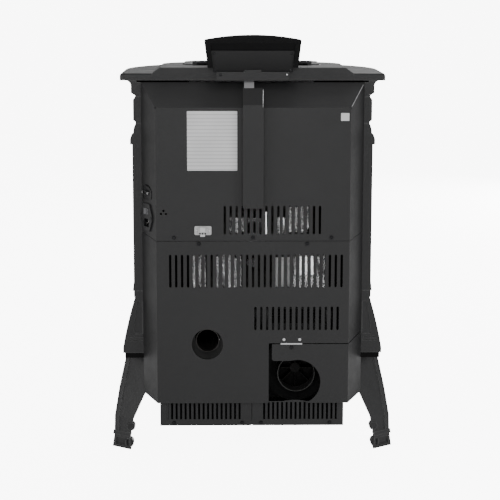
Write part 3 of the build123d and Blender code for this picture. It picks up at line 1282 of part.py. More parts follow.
with BuildPart() as hopper:
    add(between_flanks(0, HOPPER_FLANGE))
    add(between_flanks(HOPPER_SHEET), mode=Mode.SUBTRACT)
    add(between_ends(0, HOPPER_FLANGE), mode=Mode.INTERSECT)
    add(hopper_ends.part)
    # the spout under the slopes is folded by itself
    with BuildSketch(Plane.XY.offset(THROAT_HIGH)):
        Rectangle(4 * TOP_HALF, 4 * TOP_HALF)
    extrude(amount=HOPPER_SEAM, mode=Mode.SUBTRACT)
    # saddle on the tube of the feed screw
    with BuildSketch(auger_plane):
        Circle(AUGER_R + RUN_GAP)
    extrude(amount=AUGER_LONG, mode=Mode.SUBTRACT)
finish(hopper.part, "hopper")

AUGER_SHAFT_R = 6.0
FLIGHT_R = 27.0
FLIGHT_PITCH = 28.0
FLIGHT_TURNS = 5
FLIGHT_THICK = 2.4
GEARBOX = 62.0
GEARBOX_LONG = 22.0
AUGER_MOTOR_R = 26.0
AUGER_MOTOR_LONG = 40.0

with BuildPart() as auger_tube:
    with BuildSketch(auger_plane):
        Circle(AUGER_R)
        Circle(AUGER_R - AUGER_WALL, mode=Mode.SUBTRACT)
    extrude(amount=AUGER_LONG + 2 * AUGER_R)
    add(behind(FIRE_BACK, AUGER_LOW_Z - 3 * AUGER_R, AUGER_HIGH_Z + 3 * AUGER_R), mode=Mode.INTERSECT)
    # opening under the hopper
    with BuildSketch(Plane.XY.offset(THROAT_LOW + 4)):
        with Locations((0, back((THROAT_BACK + THROAT_FRONT) / 2))):
            Rectangle(2 * THROAT_HALF - 6, THROAT_FRONT - THROAT_BACK - 6)
    extrude(amount=3 * AUGER_R, mode=Mode.SUBTRACT)
finish(auger_tube.part, "auger_tube")

with BuildPart() as upright_screw:
    with BuildSketch(Plane.XY.offset(-GEARBOX_LONG + 4)):
        Circle(AUGER_SHAFT_R)
    extrude(amount=GEARBOX_LONG + 6 + FLIGHT_PITCH * FLIGHT_TURNS)
    with BuildLine(Plane.XY.offset(8)) as flight_line:
        Helix(pitch=FLIGHT_PITCH, height=FLIGHT_PITCH * FLIGHT_TURNS, radius=(FLIGHT_R + AUGER_SHAFT_R - 1) / 2)
    with BuildSketch(Plane(origin=flight_line.line @ 0, x_dir=(1, 0, 0), z_dir=flight_line.line % 0)):
        Rectangle(FLIGHT_R - AUGER_SHAFT_R + 1, FLIGHT_THICK)
    sweep(path=flight_line.line, is_frenet=True)

with BuildPart() as auger_screw:
    add(upright_screw.part.moved(auger_plane.location))
finish(auger_screw.part, "auger_screw")

with BuildPart() as auger_motor:
    with BuildSketch(auger_plane):
        RectangleRounded(GEARBOX, GEARBOX, 7)
    extrude(amount=-GEARBOX_LONG)
    with BuildSketch(auger_plane.offset(-GEARBOX_LONG)):
        Circle(AUGER_MOTOR_R)
    extrude(amount=-AUGER_MOTOR_LONG)
    with BuildSketch(auger_plane.offset(-GEARBOX_LONG - AUGER_MOTOR_LONG)):
        Circle(AUGER_MOTOR_R / 2)
    extrude(amount=-6)
    with BuildSketch(auger_plane):
        Circle(AUGER_SHAFT_R + PIN_FIT)
    extrude(amount=-GEARBOX_LONG + 3, mode=Mode.SUBTRACT)
finish(auger_motor.part, "auger_motor")

# ---------------------------------------------------------------- combustion air pipe
INTAKE_BEND = 205.0     # depth of its upright run
INTAKE_BEND_R = 36.0

with BuildPart() as intake_pipe:
    with BuildLine(Plane.YZ.offset(INTAKE_X)) as intake_run:
        FilletPolyline((back(INTAKE_DEPTH), INTAKE_Z), (back(INTAKE_BEND), INTAKE_Z),
                       (back(INTAKE_BEND), DUCT_IN_Z), (back(FIRE_BACK), DUCT_IN_Z), radius=INTAKE_BEND_R)
    for radius, mode in ((INTAKE_R, Mode.ADD), (INTAKE_R - INTAKE_WALL, Mode.SUBTRACT)):
        with BuildSketch(across(back(INTAKE_DEPTH))):
            with Locations((INTAKE_X, INTAKE_Z)):
                Circle(radius)
        sweep(path=intake_run.line, mode=mode)
finish(intake_pipe.part, "intake_pipe")

# ---------------------------------------------------------------- room air blower
BLOWER_LEFT = -165.0
BLOWER_LONG = 145.0
BLOWER_R = 42.0
BLOWER_DEPTH = 62.0
BLOWER_Z = 297.0
BLOWER_WALL = 1.5
BLOWER_OUT = 32.0
BLOWER_HIGH = 62.0
ROTOR_R = 32.0
ROTOR_BLADES = 12
BLOWER_RIGHT = BLOWER_LEFT + BLOWER_LONG


def blower_body(inset, extra):
    """Round blower body with its upright outlet."""
    with BuildPart() as body:
        with BuildSketch(Plane.YZ.offset(BLOWER_LEFT + inset)):
            with Locations((back(BLOWER_DEPTH), BLOWER_Z)):
                Circle(BLOWER_R - inset)
            with Locations((back(BLOWER_DEPTH), BLOWER_Z + (BLOWER_HIGH + extra) / 2)):
                Rectangle(BLOWER_OUT - 2 * inset, BLOWER_HIGH + extra)
        extrude(amount=BLOWER_LONG - 2 * inset)
    return body.part


with BuildPart() as blower_housing:
    add(blower_body(0, 0))
    # foot on the smoke channel
    with BuildSketch(across(back(BLOWER_DEPTH + BLOWER_R - 4))):
        with Locations((FLUE_X, BLOWER_Z)):
            Rectangle(20, 16)
    extrude(amount=CHANNEL_BACK - BLOWER_DEPTH - BLOWER_R + 4)
    add(blower_body(BLOWER_WALL, 5), mode=Mode.SUBTRACT)
    # air inlet at the back
    with BuildSketch(across(back(BLOWER_DEPTH - BLOWER_R - 1))):
        with Locations((BLOWER_LEFT + BLOWER_LONG / 2, BLOWER_Z)):
            Rectangle(BLOWER_LONG - 24, 30)
    extrude(amount=12, mode=Mode.SUBTRACT)
    with BuildSketch(Plane.YZ.offset(BLOWER_RIGHT - BLOWER_WALL - 1)):
        with Locations((back(BLOWER_DEPTH), BLOWER_Z)):
            Circle(SHAFT_R + PIN_FIT)
    extrude(amount=BLOWER_WALL + 2, mode=Mode.SUBTRACT)
finish(blower_housing.part, "blower_housing")

with BuildPart() as blower_rotor:
    for disc_x in (BLOWER_LEFT + 6, BLOWER_LEFT + BLOWER_LONG / 2 - 1, BLOWER_RIGHT - 8):
        with BuildSketch(Plane.YZ.offset(disc_x)):
            with Locations((back(BLOWER_DEPTH), BLOWER_Z)):
                Circle(ROTOR_R)
        extrude(amount=2)
    with BuildSketch(Plane.YZ.offset(BLOWER_LEFT + 6)):
        with Locations((back(BLOWER_DEPTH), BLOWER_Z)):
            with PolarLocations(ROTOR_R - 4, ROTOR_BLADES):
                Rectangle(6, 1.2)
    extrude(amount=BLOWER_LONG - 12)
    with BuildSketch(Plane.YZ.offset(BLOWER_LEFT + 6)):
        with Locations((back(BLOWER_DEPTH), BLOWER_Z)):
            Circle(SHAFT_R)
    extrude(amount=BLOWER_LONG + 6)
finish(blower_rotor.part, "blower_rotor")

with BuildPart() as blower_motor:
    with BuildSketch(Plane.YZ.offset(BLOWER_RIGHT)):
        with Locations((back(BLOWER_DEPTH), BLOWER_Z)):
            RectangleRounded(50, 50, 8)
    extrude(amount=10)
    with BuildSketch(Plane.YZ.offset(BLOWER_RIGHT + 10)):
        with Locations((back(BLOWER_DEPTH), BLOWER_Z)):
            Circle(22)
    extrude(amount=30)
    with BuildSketch(Plane.YZ.offset(BLOWER_RIGHT - 1)):
        with Locations((back(BLOWER_DEPTH), BLOWER_Z)):
            Circle(SHAFT_R + PIN_FIT)
    extrude(amount=16, mode=Mode.SUBTRACT)
finish(blower_motor.part, "blower_motor")

# ---------------------------------------------------------------- inlet with its rocker
INLET_FLANGE = 3.0
INLET_BODY = 25.0
SOCKET_Y = -11.5        # on the inlet's plane
SOCKET_WIDE = 24.0
SOCKET_HIGH = 17.0
SOCKET_DEEP = 16.0
ROCKER_Y = 12.5
ROCKER_CUT_WIDE = 20.6
ROCKER_CUT_HIGH = 13.6
ROCKER_HIGH = 13.0
ROCKER_R = 10.0
ROCKER_PIN_R = 1.0
ROCKER_PIN_LONG = 1.2

rocker_plane = Plane(origin=inlet_plane.from_local_coords((0, ROCKER_Y, 0)), x_dir=-inlet_plane.x_dir,
                     z_dir=(0, 0, 1))
inlet_edge = [(-25, -6), (-14, -28.5), (14, -28.5), (25, -6), (25, 6), (14, 28.5), (-14, 28.5), (-25, 6)]

with BuildPart() as power_inlet:
    with BuildSketch(inlet_plane):
        add(outline(*inlet_edge))
    extrude(amount=INLET_FLANGE)
    with BuildSketch(inlet_plane):
        Rectangle(INLET_BODY_WIDE, INLET_BODY_HIGH)
    extrude(amount=-INLET_BODY)
    with BuildSketch(inlet_plane.offset(INLET_FLANGE)):
        with Locations((0, SOCKET_Y)):
            add(outline((-SOCKET_WIDE / 2, -SOCKET_HIGH / 2), (SOCKET_WIDE / 2, -SOCKET_HIGH / 2),
                        (SOCKET_WIDE / 2, SOCKET_HIGH / 2 - 5), (SOCKET_WIDE / 2 - 5, SOCKET_HIGH / 2),
                        (-SOCKET_WIDE / 2 + 5, SOCKET_HIGH / 2), (-SOCKET_WIDE / 2, SOCKET_HIGH / 2 - 5)))
    extrude(amount=-SOCKET_DEEP, mode=Mode.SUBTRACT)
    with BuildSketch(inlet_plane.offset(INLET_FLANGE)):
        with Locations((0, ROCKER_Y)):
            Rectangle(ROCKER_CUT_WIDE, ROCKER_CUT_HIGH)
    extrude(amount=-INLET_FLANGE - 12, mode=Mode.SUBTRACT)
    with BuildSketch(rocker_plane.offset(-ROCKER_CUT_HIGH / 2 - ROCKER_PIN_LONG)):
        Circle(ROCKER_PIN_R + PIN_FIT)
    extrude(amount=ROCKER_CUT_HIGH + 2 * ROCKER_PIN_LONG, mode=Mode.SUBTRACT)
    # fixing screws
    with BuildSketch(inlet_plane):
        with Locations(*INLET_SCREWS):
            Circle(SCREW_R)
    extrude(amount=-SCREW_LENGTH)
    with BuildSketch(inlet_plane.offset(INLET_FLANGE)):
        with Locations(*INLET_SCREWS):
            Circle(3.2)
    extrude(amount=1.2, taper=25)
finish(power_inlet.part, "power_inlet")

with BuildPart() as inlet_pins:
    with BuildSketch(inlet_plane.offset(INLET_FLANGE - SOCKET_DEEP)):
        with Locations((-7, SOCKET_Y - 2), (7, SOCKET_Y - 2), (0, SOCKET_Y + 2)):
            Rectangle(2, 4)
    extrude(amount=SOCKET_DEEP - 5)
finish(inlet_pins.part, "inlet_pins")

with BuildPart() as rocker_switch:
    with BuildSketch(rocker_plane.offset(-ROCKER_HIGH / 2)):
        Circle(ROCKER_R)
        add(outline((-12, -6), (12, -6), (12, 5), (0, 3.2), (-12, 5)), mode=Mode.INTERSECT)
    extrude(amount=ROCKER_HIGH)
    with BuildSketch(rocker_plane.offset(-ROCKER_CUT_HIGH / 2 - ROCKER_PIN_LONG + RUN_GAP)):
        Circle(ROCKER_PIN_R)
    extrude(amount=ROCKER_CUT_HIGH + 2 * (ROCKER_PIN_LONG - RUN_GAP))
finish(rocker_switch.part, "rocker_switch")

# ---------------------------------------------------------------- serial port
PORT_PLATE_WIDE = 36.0
PORT_PLATE_HIGH = 34.0
JACK_APART = 25.0

with BuildPart() as serial_port:
    with BuildSketch(port_plane.offset(-SHEET)):
        Rectangle(PORT_PLATE_WIDE, PORT_PLATE_HIGH)
    extrude(amount=-1.5)
    with BuildSketch(port_plane.offset(-SHEET - 1.5)):
        Rectangle(30, 12)
    extrude(amount=-9)
    with BuildSketch(port_plane.offset(-SHEET)):
        add(outline((-8.5, 4.2), (8.5, 4.2), (7.3, -4.2), (-7.3, -4.2)))
        add(outline((-7.5, 3.2), (7.5, 3.2), (6.4, -3.2), (-6.4, -3.2)), mode=Mode.SUBTRACT)
    extrude(amount=5.5)
    with BuildSketch(port_plane.offset(-SHEET)):
        add(outline((-6.9, 2.7), (6.9, 2.7), (5.9, -2.7), (-5.9, -2.7)))
    extrude(amount=3)
    with BuildSketch(port_plane.offset(-SHEET)):
        with Locations((-JACK_APART / 2, 0), (JACK_APART / 2, 0)):
            RegularPolygon(2.8, 6)
            Circle(1.3, mode=Mode.SUBTRACT)
    extrude(amount=5)
finish(serial_port.part, "serial_port")

# ---------------------------------------------------------------- terminal block
with BuildPart() as terminal_block:
    with BuildSketch(across(REAR_Y)):
        with Locations((TERMINAL_X, TERMINAL_Z)):
            RectangleRounded(TERMINAL_WIDE, TERMINAL_HIGH, 3)
    extrude(amount=-1.5)
    with BuildSketch(across(REAR_Y)):
        with Locations((TERMINAL_X, TERMINAL_Z)):
            Rectangle(TERMINAL_WIDE - 16, TERMINAL_HIGH - 10)
    extrude(amount=10)
    with BuildSketch(across(REAR_Y + 1.5)):
        with Locations((TERMINAL_X, TERMINAL_Z)):
            Rectangle(TERMINAL_WIDE - 14, TERMINAL_HIGH - 8)
    extrude(amount=-2.5)
finish(terminal_block.part, "terminal_block")

# ---------------------------------------------------------------- control board
BOARD_X = BODY_IN - 18.0
BOARD_BACK = 80.0
BOARD_FRONT = 200.0
BOARD_LOW = 540.0
BOARD_HIGH = 680.0
BOARD_THICK = 1.6

with BuildPart() as control_board:
    board_mid = (back((BOARD_BACK + BOARD_FRONT) / 2), (BOARD_LOW + BOARD_HIGH) / 2)
    board_long = BOARD_FRONT - BOARD_BACK
    board_tall = BOARD_HIGH - BOARD_LOW
    with BuildSketch(Plane.YZ.offset(BOARD_X)):
        with Locations(board_mid):
            Rectangle(board_long, board_tall)
    extrude(amount=BOARD_THICK)
    with BuildSketch(Plane.YZ.offset(BOARD_X + BOARD_THICK)):
        with Locations(board_mid):
            with GridLocations(board_long - 12, board_tall - 12, 2, 2):
                Circle(3.5)
    extrude(amount=BODY_IN - BOARD_X - BOARD_THICK)
    # relays, a chip and connectors
    with BuildSketch(Plane.YZ.offset(BOARD_X)):
        with Locations((board_mid[0] + 34, board_mid[1] + 20)):
            with GridLocations(0, 22, 1, 3):
                Rectangle(28, 16)
    extrude(amount=-16)
    with BuildSketch(Plane.YZ.offset(BOARD_X)):
        with Locations((board_mid[0] - 16, board_mid[1] + 12)):
            Rectangle(22, 22)
        with Locations((board_mid[0] - 30, board_mid[1] - 40)):
            Rectangle(44, 9)
    extrude(amount=-6)
    with BuildSketch(Plane.YZ.offset(BOARD_X)):
        with Locations((board_mid[0] + 26, board_mid[1] - 36)):
            with GridLocations(22, 0, 2, 1):
                Circle(8)
    extrude(amount=-22)
finish(control_board.part, "control_board")

# ---------------------------------------------------------------- fire door
DOOR_ANGLE = 49.0
WINDOW_ANGLE = 34.0
WINDOW_LOW = 374.0
WINDOW_HIGH = 638.0
GLASS_LAP = 2.0         # degrees, and twice that in millimetres up and down
GLASS_R = DOOR_OUT_R - 4.0
GLASS_THICK = 4.0
HANDLE_ANGLE = 43.0
HANDLE_Z = 510.0
HANDLE_SHAFT_R = 6.0

handle_side = math.radians(HANDLE_ANGLE)
handle_plane = Plane(origin=(0, BOW_Y, HANDLE_Z), x_dir=(math.cos(handle_side), -math.sin(handle_side), 0),
                     z_dir=(-math.sin(handle_side), -math.cos(handle_side), 0))


def curved_panel(inner, outer, half_angle, low, high):
    """Part of a round wall within an angle."""
    with BuildPart() as panel:
        add(bow_shell(inner, outer, low, high))
        add(bow_sector(half_angle, low - 1, high + 1), mode=Mode.INTERSECT)
    return panel.part


with BuildPart() as door:
    add(curved_panel(DOOR_IN_R, DOOR_OUT_R, DOOR_ANGLE, DOOR_LOW, DOOR_HIGH))
    # raised border round the window
    add(curved_panel(DOOR_OUT_R - 1, DOOR_OUT_R + 2.5, WINDOW_ANGLE + 3, WINDOW_LOW - 12, WINDOW_HIGH + 12))
    add(curved_panel(DOOR_IN_R - 5, DOOR_OUT_R + 5, WINDOW_ANGLE, WINDOW_LOW, WINDOW_HIGH), mode=Mode.SUBTRACT)
    add(curved_panel(DOOR_IN_R - 5, GLASS_R + RUN_GAP, WINDOW_ANGLE + GLASS_LAP, WINDOW_LOW - 2 * GLASS_LAP,
                     WINDOW_HIGH + 2 * GLASS_LAP), mode=Mode.SUBTRACT)
    add(knuckles(low_first=False))
    with BuildSketch(handle_plane.offset(DOOR_IN_R - 12)):
        Circle(HANDLE_SHAFT_R + PIN_FIT)
    extrude(amount=30, mode=Mode.SUBTRACT)
finish(door.part, "door")

with BuildPart() as door_glass:
    add(curved_panel(GLASS_R - GLASS_THICK, GLASS_R, WINDOW_ANGLE + GLASS_LAP - 0.07,
                     WINDOW_LOW - 2 * GLASS_LAP + RUN_GAP, WINDOW_HIGH + 2 * GLASS_LAP - RUN_GAP))
finish(door_glass.part, "door_glass")

GASKET_IN = 132.0
GASKET_OUT = 144.0

with BuildPart() as door_gasket:
    add(bow_shell(FIRE_FRONT_R + RUN_GAP, DOOR_IN_R, FIRE_LOW, FIRE_HIGH))
    with BuildSketch(across(BOW_Y)):
        with Locations((0, (FIRE_LOW + FIRE_HIGH) / 2)):
            Rectangle(2 * GASKET_OUT, FIRE_HIGH - FIRE_LOW)
            Rectangle(2 * GASKET_IN, FIRE_HIGH - FIRE_LOW - 2 * (GASKET_OUT - GASKET_IN), mode=Mode.SUBTRACT)
    extrude(amount=TOP_HALF, mode=Mode.INTERSECT)
finish(door_gasket.part, "door_gasket")

with BuildPart() as door_hinge_pins:
    for hinge_z in HINGE_Z:
        with BuildSketch(Plane.XY.offset(hinge_z - 2)):
            with Locations((HINGE_X, HINGE_Y)):
                Circle(PIN_R)
        extrude(amount=2 * KNUCKLE + KNUCKLE_GAP + 4)
        with BuildSketch(Plane.XY.offset(hinge_z + 2 * KNUCKLE + 2 * KNUCKLE_GAP)):
            with Locations((HINGE_X, HINGE_Y)):
                Circle(KNUCKLE_R - 0.5)
        extrude(amount=3.5, taper=20)
finish(door_hinge_pins.part, "door_hinge_pins")

LEVER_LONG = 105.0
LEVER_LOW_R = DOOR_OUT_R + 9.0
LEVER_THICK = 9.0
HUB_R = 12.0
CAM_R = FIRE_FRONT_R + 2.5
CAM_THICK = 4.0
CAM_REACH = 30.0

with BuildPart() as door_handle:
    with BuildSketch(handle_plane.offset(CAM_R)):
        Circle(HANDLE_SHAFT_R)
    extrude(amount=LEVER_LOW_R - CAM_R)
    with BuildSketch(handle_plane.offset(LEVER_LOW_R)):
        Circle(HUB_R - 2)
    extrude(amount=DOOR_OUT_R + 2 * RUN_GAP - LEVER_LOW_R)
    with BuildSketch(handle_plane.offset(LEVER_LOW_R)):
        with Locations((0, -LEVER_LONG / 2)):
            SlotOverall(LEVER_LONG + 16, 16, rotation=90)
        Circle(HUB_R)
    extrude(amount=LEVER_THICK)
    outer_face = door_handle.faces().sort_by(lambda face: face.center().dot(handle_plane.z_dir))[-1]
    chamfer(outer_face.edges(), 1.5)
    with BuildSketch(handle_plane.offset(CAM_R)):
        with Locations((0, -CAM_REACH / 2)):
            SlotOverall(CAM_REACH + 15, 15, rotation=90)
    extrude(amount=CAM_THICK)
finish(door_handle.part, "door_handle")

# ---------------------------------------------------------------- console on its bracket
CONSOLE_AXIS_DEPTH = 50.0
CONSOLE_AXIS_Z = 803.0
CONSOLE_PIN_R = 2.5
BRACKET_BACK = 39.0
BRACKET_SHEET = 2.0
BRACKET_HALF = 74.3
BRACKET_LOW = 788.0
BRACKET_HIGH = 806.0
BRACKET_TAB_HALF = 17.2
BRACKET_TAB_HIGH = 810.0
EYE_DEPTH = 46.8        # the bracket's arms are cut lower up to here
EYE_CUT = 3.0
EAR_R = 5.0
EAR_OUT = 72.0
EAR_THICK = 2.5

with BuildPart() as console_bracket:
    with BuildSketch(across(back(BRACKET_BACK))):
        with Locations((0, (BRACKET_LOW + BRACKET_HIGH) / 2)):
            Rectangle(2 * BRACKET_HALF, BRACKET_HIGH - BRACKET_LOW)
        with Locations((0, (BRACKET_LOW + BRACKET_TAB_HIGH) / 2)):
            Rectangle(2 * BRACKET_TAB_HALF, BRACKET_TAB_HIGH - BRACKET_LOW)
    extrude(amount=BRACKET_SHEET)
    for side in (-1, 1):
        with BuildSketch(Plane.YZ.offset(side * BRACKET_HALF)):
            add(outline((back(BRACKET_BACK), BRACKET_LOW), (back(CASING_DEPTH), BRACKET_LOW),
                        (back(CASING_DEPTH), BRACKET_HIGH), (back(EYE_DEPTH), BRACKET_HIGH),
                        (back(EYE_DEPTH), BRACKET_HIGH - EYE_CUT), (back(BRACKET_BACK), BRACKET_HIGH - EYE_CUT)))
        extrude(amount=-side * BRACKET_SHEET)
        with BuildSketch(Plane.YZ.offset(side * BRACKET_HALF)):
            with Locations((back(CONSOLE_AXIS_DEPTH), CONSOLE_AXIS_Z)):
                Circle(CONSOLE_PIN_R)
        extrude(amount=-side * (BRACKET_HALF - EAR_OUT + EAR_THICK + 1))
finish(console_bracket.part, "console_bracket")

SHELL_BACK = 40.0
SHELL_FRONT = 112.0
SHELL_NOSE = 828.0
SHELL_TOP_FRONT = 66.0
SHELL_HIGH = 880.0
SHELL_BOTTOM_HALF = 93.0
SHELL_TOP_HALF = 100.0
SHELL_SIDE_HIGH = 871.0
SHELL_WALL = 3.0
RECESS_DEEP = 6.0       # recess for the back plate, with a sloping wall above it
RECESS_HIGH = 864.7
PLATE_LOW = BRACKET_HIGH + RUN_GAP
PLATE_HIGH = 849.0
PLATE_LOW_HALF = 81.7
PLATE_HIGH_HALF = 86.0
PLATE_THICK = 1.7

slope_fall = SHELL_HIGH - SHELL_NOSE
slope_run = SHELL_FRONT - SHELL_TOP_FRONT
slope_long = math.hypot(slope_fall, slope_run)
slope_plane = Plane(origin=(0, back((SHELL_FRONT + SHELL_TOP_FRONT) / 2), (SHELL_HIGH + SHELL_NOSE) / 2),
                    x_dir=(1, 0, 0), z_dir=(0, -slope_fall, slope_run))
inner_front = SHELL_FRONT - SHELL_WALL * slope_long / slope_fall
recess_floor = SHELL_BACK + RECESS_DEEP
CAVITY_LOW = SHELL_LOW + SHELL_WALL
CAVITY_HIGH = SHELL_SIDE_HIGH - 2 * SHELL_WALL
CAVITY_HALF = SHELL_BOTTOM_HALF - 10
BUTTON_R = 7.0
BUTTON_X = (-72.0, -50.0, 50.0, 72.0)
BUTTON_UP = -4.0
BUTTON_PROUD = 1.6
SCREEN_WIDE = 64.0
SCREEN_HIGH = 26.0


def slope_depth(height):
    """Depth of the inside of the sloping front at this height."""
    return inner_front - (height - SHELL_NOSE) * slope_run / slope_fall


def plate_outline(gap, high):
    """Tapering outline of the back plate, or of its recess with this gap."""
    taper = (PLATE_HIGH_HALF - PLATE_LOW_HALF) / (PLATE_HIGH - PLATE_LOW)
    high_half = PLATE_LOW_HALF + (high - PLATE_LOW) * taper + gap
    low_half = PLATE_LOW_HALF + gap
    return outline((-low_half, PLATE_LOW), (low_half, PLATE_LOW), (high_half, high), (-high_half, high))


with BuildPart() as plate_recess:
    with BuildSketch(across(back(SHELL_BACK))):
        add(plate_outline(RUN_GAP, RECESS_HIGH))
    extrude(amount=RECESS_DEEP)
    with BuildSketch(Plane.YZ.offset(-SHELL_TOP_HALF)):
        add(outline((back(SHELL_BACK), PLATE_LOW), (back(recess_floor), PLATE_LOW),
                    (back(recess_floor), PLATE_HIGH + RUN_GAP), (back(SHELL_BACK), RECESS_HIGH)))
    extrude(amount=2 * SHELL_TOP_HALF, mode=Mode.INTERSECT)

with BuildPart() as console_shell:
    with BuildSketch(Plane.YZ.offset(-SHELL_TOP_HALF - 1)):
        add(outline((back(SHELL_BACK), SHELL_LOW), (back(SHELL_FRONT), SHELL_LOW), (back(SHELL_FRONT), SHELL_NOSE),
                    (back(SHELL_TOP_FRONT), SHELL_HIGH), (back(SHELL_TOP_FRONT - 5), SHELL_HIGH + 2),
                    (back(SHELL_BACK), SHELL_HIGH + 2)))
    extrude(amount=2 * SHELL_TOP_HALF + 2)
    with BuildSketch(across(back(SHELL_BACK - 1))) as shell_front:
        with BuildLine():
            Polyline((-SHELL_TOP_HALF, SHELL_SIDE_HIGH), (-SHELL_BOTTOM_HALF, SHELL_LOW),
                     (SHELL_BOTTOM_HALF, SHELL_LOW), (SHELL_TOP_HALF, SHELL_SIDE_HIGH))
            ThreePointArc((-SHELL_TOP_HALF, SHELL_SIDE_HIGH), (0, SHELL_HIGH + 1), (SHELL_TOP_HALF, SHELL_SIDE_HIGH))
        make_face()
        fillet(shell_front.vertices().group_by(Axis.Y)[-1], 3)
    extrude(amount=SHELL_FRONT - SHELL_BACK + 2, mode=Mode.INTERSECT)
    # recess for the back plate, the opening behind it and the hollow inside
    add(plate_recess.part, mode=Mode.SUBTRACT)
    with BuildSketch(across(back(recess_floor - 1))):
        with Locations((0, (CAVITY_LOW + PLATE_HIGH - SHELL_WALL) / 2)):
            Rectangle(2 * (PLATE_LOW_HALF - SHELL_WALL), PLATE_HIGH - SHELL_WALL - CAVITY_LOW)
    extrude(amount=SHELL_WALL + 2, mode=Mode.SUBTRACT)
    nose_depth = SHELL_FRONT - SHELL_WALL
    nose_high = SHELL_NOSE + (inner_front - nose_depth) * slope_fall / slope_run
    with BuildSketch(Plane.YZ.offset(-CAVITY_HALF)):
        add(outline((back(recess_floor + SHELL_WALL), CAVITY_LOW), (back(nose_depth), CAVITY_LOW),
                    (back(nose_depth), nose_high), (back(slope_depth(CAVITY_HIGH)), CAVITY_HIGH),
                    (back(recess_floor + SHELL_WALL), CAVITY_HIGH)))
    extrude(amount=2 * CAVITY_HALF, mode=Mode.SUBTRACT)
    # button holes and the sunk screen
    with BuildSketch(slope_plane.offset(1)):
        with Locations(*[(x, BUTTON_UP) for x in BUTTON_X]):
            Circle(BUTTON_R + RUN_GAP)
    extrude(amount=-SHELL_WALL - 2, mode=Mode.SUBTRACT)
    with BuildSketch(slope_plane.offset(1)):
        with Locations((0, BUTTON_UP)):
            RectangleRounded(SCREEN_WIDE, SCREEN_HIGH, 3)
    extrude(amount=-2, mode=Mode.SUBTRACT)
    # ears on the bracket's pins
    for side in (-1, 1):
        with BuildSketch(Plane.YZ.offset(side * EAR_OUT)):
            with Locations((back(CONSOLE_AXIS_DEPTH), CONSOLE_AXIS_Z)):
                Circle(EAR_R)
            with Locations((back(CONSOLE_AXIS_DEPTH + 1.5), (CONSOLE_AXIS_Z + SHELL_LOW) / 2 + 1)):
                Rectangle(7, SHELL_LOW - CONSOLE_AXIS_Z + 2)
            with Locations((back(CONSOLE_AXIS_DEPTH), CONSOLE_AXIS_Z)):
                Circle(CONSOLE_PIN_R + PIN_FIT, mode=Mode.SUBTRACT)
        extrude(amount=-side * EAR_THICK)
finish(console_shell.part, "console_shell")

with BuildPart() as console_back_plate:
    with BuildSketch(across(back(recess_floor - PLATE_THICK))):
        add(plate_outline(0, PLATE_HIGH))
    extrude(amount=PLATE_THICK)
finish(console_back_plate.part, "console_back_plate")


def console_button(x):
    """Push button with a collar behind the sloping front."""
    with BuildPart() as button:
        with BuildSketch(slope_plane.offset(BUTTON_PROUD)):
            with Locations((x, BUTTON_UP)):
                Circle(BUTTON_R)
        extrude(amount=-BUTTON_PROUD - SHELL_WALL - 1.8)
        cap = button.faces().sort_by(lambda face: face.center().dot(slope_plane.z_dir))[-1]
        fillet(cap.edges(), 1)
        with BuildSketch(slope_plane.offset(-SHELL_WALL - RUN_GAP)):
            with Locations((x, BUTTON_UP)):
                Circle(BUTTON_R + 1.6)
        extrude(amount=-1.5)
    return button.part


with BuildPart() as up_button:
    add(console_button(BUTTON_X[0]))
finish(up_button.part, "up_button")

with BuildPart() as down_button:
    add(console_button(BUTTON_X[1]))
finish(down_button.part, "down_button")

with BuildPart() as menu_button:
    add(console_button(BUTTON_X[2]))
finish(menu_button.part, "menu_button")

with BuildPart() as power_button:
    add(console_button(BUTTON_X[3]))
finish(power_button.part, "power_button")
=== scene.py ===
import json
import math

import bmesh
import bpy
from mathutils import Matrix, Vector, noise


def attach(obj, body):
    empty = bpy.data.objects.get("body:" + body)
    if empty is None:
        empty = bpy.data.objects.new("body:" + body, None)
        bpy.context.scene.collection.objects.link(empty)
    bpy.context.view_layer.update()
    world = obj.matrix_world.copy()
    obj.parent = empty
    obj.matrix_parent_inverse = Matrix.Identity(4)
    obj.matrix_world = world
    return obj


# Looks of a pellet stove: camera, materials, small pieces and stage, in metres with +Z up.
# The photographed rear faces +Y, so the photograph's camera has +X on its left.

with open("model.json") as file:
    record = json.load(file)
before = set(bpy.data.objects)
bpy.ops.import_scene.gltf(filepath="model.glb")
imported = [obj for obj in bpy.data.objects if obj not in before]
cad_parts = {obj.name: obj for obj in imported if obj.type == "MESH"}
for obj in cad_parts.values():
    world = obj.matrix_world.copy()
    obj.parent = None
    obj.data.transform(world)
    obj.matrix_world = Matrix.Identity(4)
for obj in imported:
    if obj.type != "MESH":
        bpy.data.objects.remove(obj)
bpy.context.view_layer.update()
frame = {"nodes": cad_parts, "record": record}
NODES = frame["nodes"]

REAR_Y = 0.2395          # flat back of the casing
CASING_DEPTH = 0.057     # how deep its side facets reach
CREASE_HALF = 0.1998     # from the middle to the crease between back and facet
CASING_HALF = 0.2315     # from the middle to a facet's front edge
FACET_RUN = CASING_HALF - CREASE_HALF
FACET_LENGTH = math.hypot(FACET_RUN, CASING_DEPTH)


def back(depth):
    """Y of a place this deep in front of the flat back."""
    return REAR_Y - depth


# ---------------------------------------------------------------- camera
PHOTO_PIXELS = 500.0
FOCAL_PIXELS = 1506.0    # solved from the standard parts in the photograph
SENSOR_WIDTH = 36.0      # millimetres
CAMERA_PLACE = (0.056, REAR_Y + 3.066, 0.98)
CAMERA_YAW, CAMERA_TILT, CAMERA_ROLL = 0.93, 9.95, 0.07    # degrees
NEAR_CLIP, FAR_CLIP = 0.05, 700.0


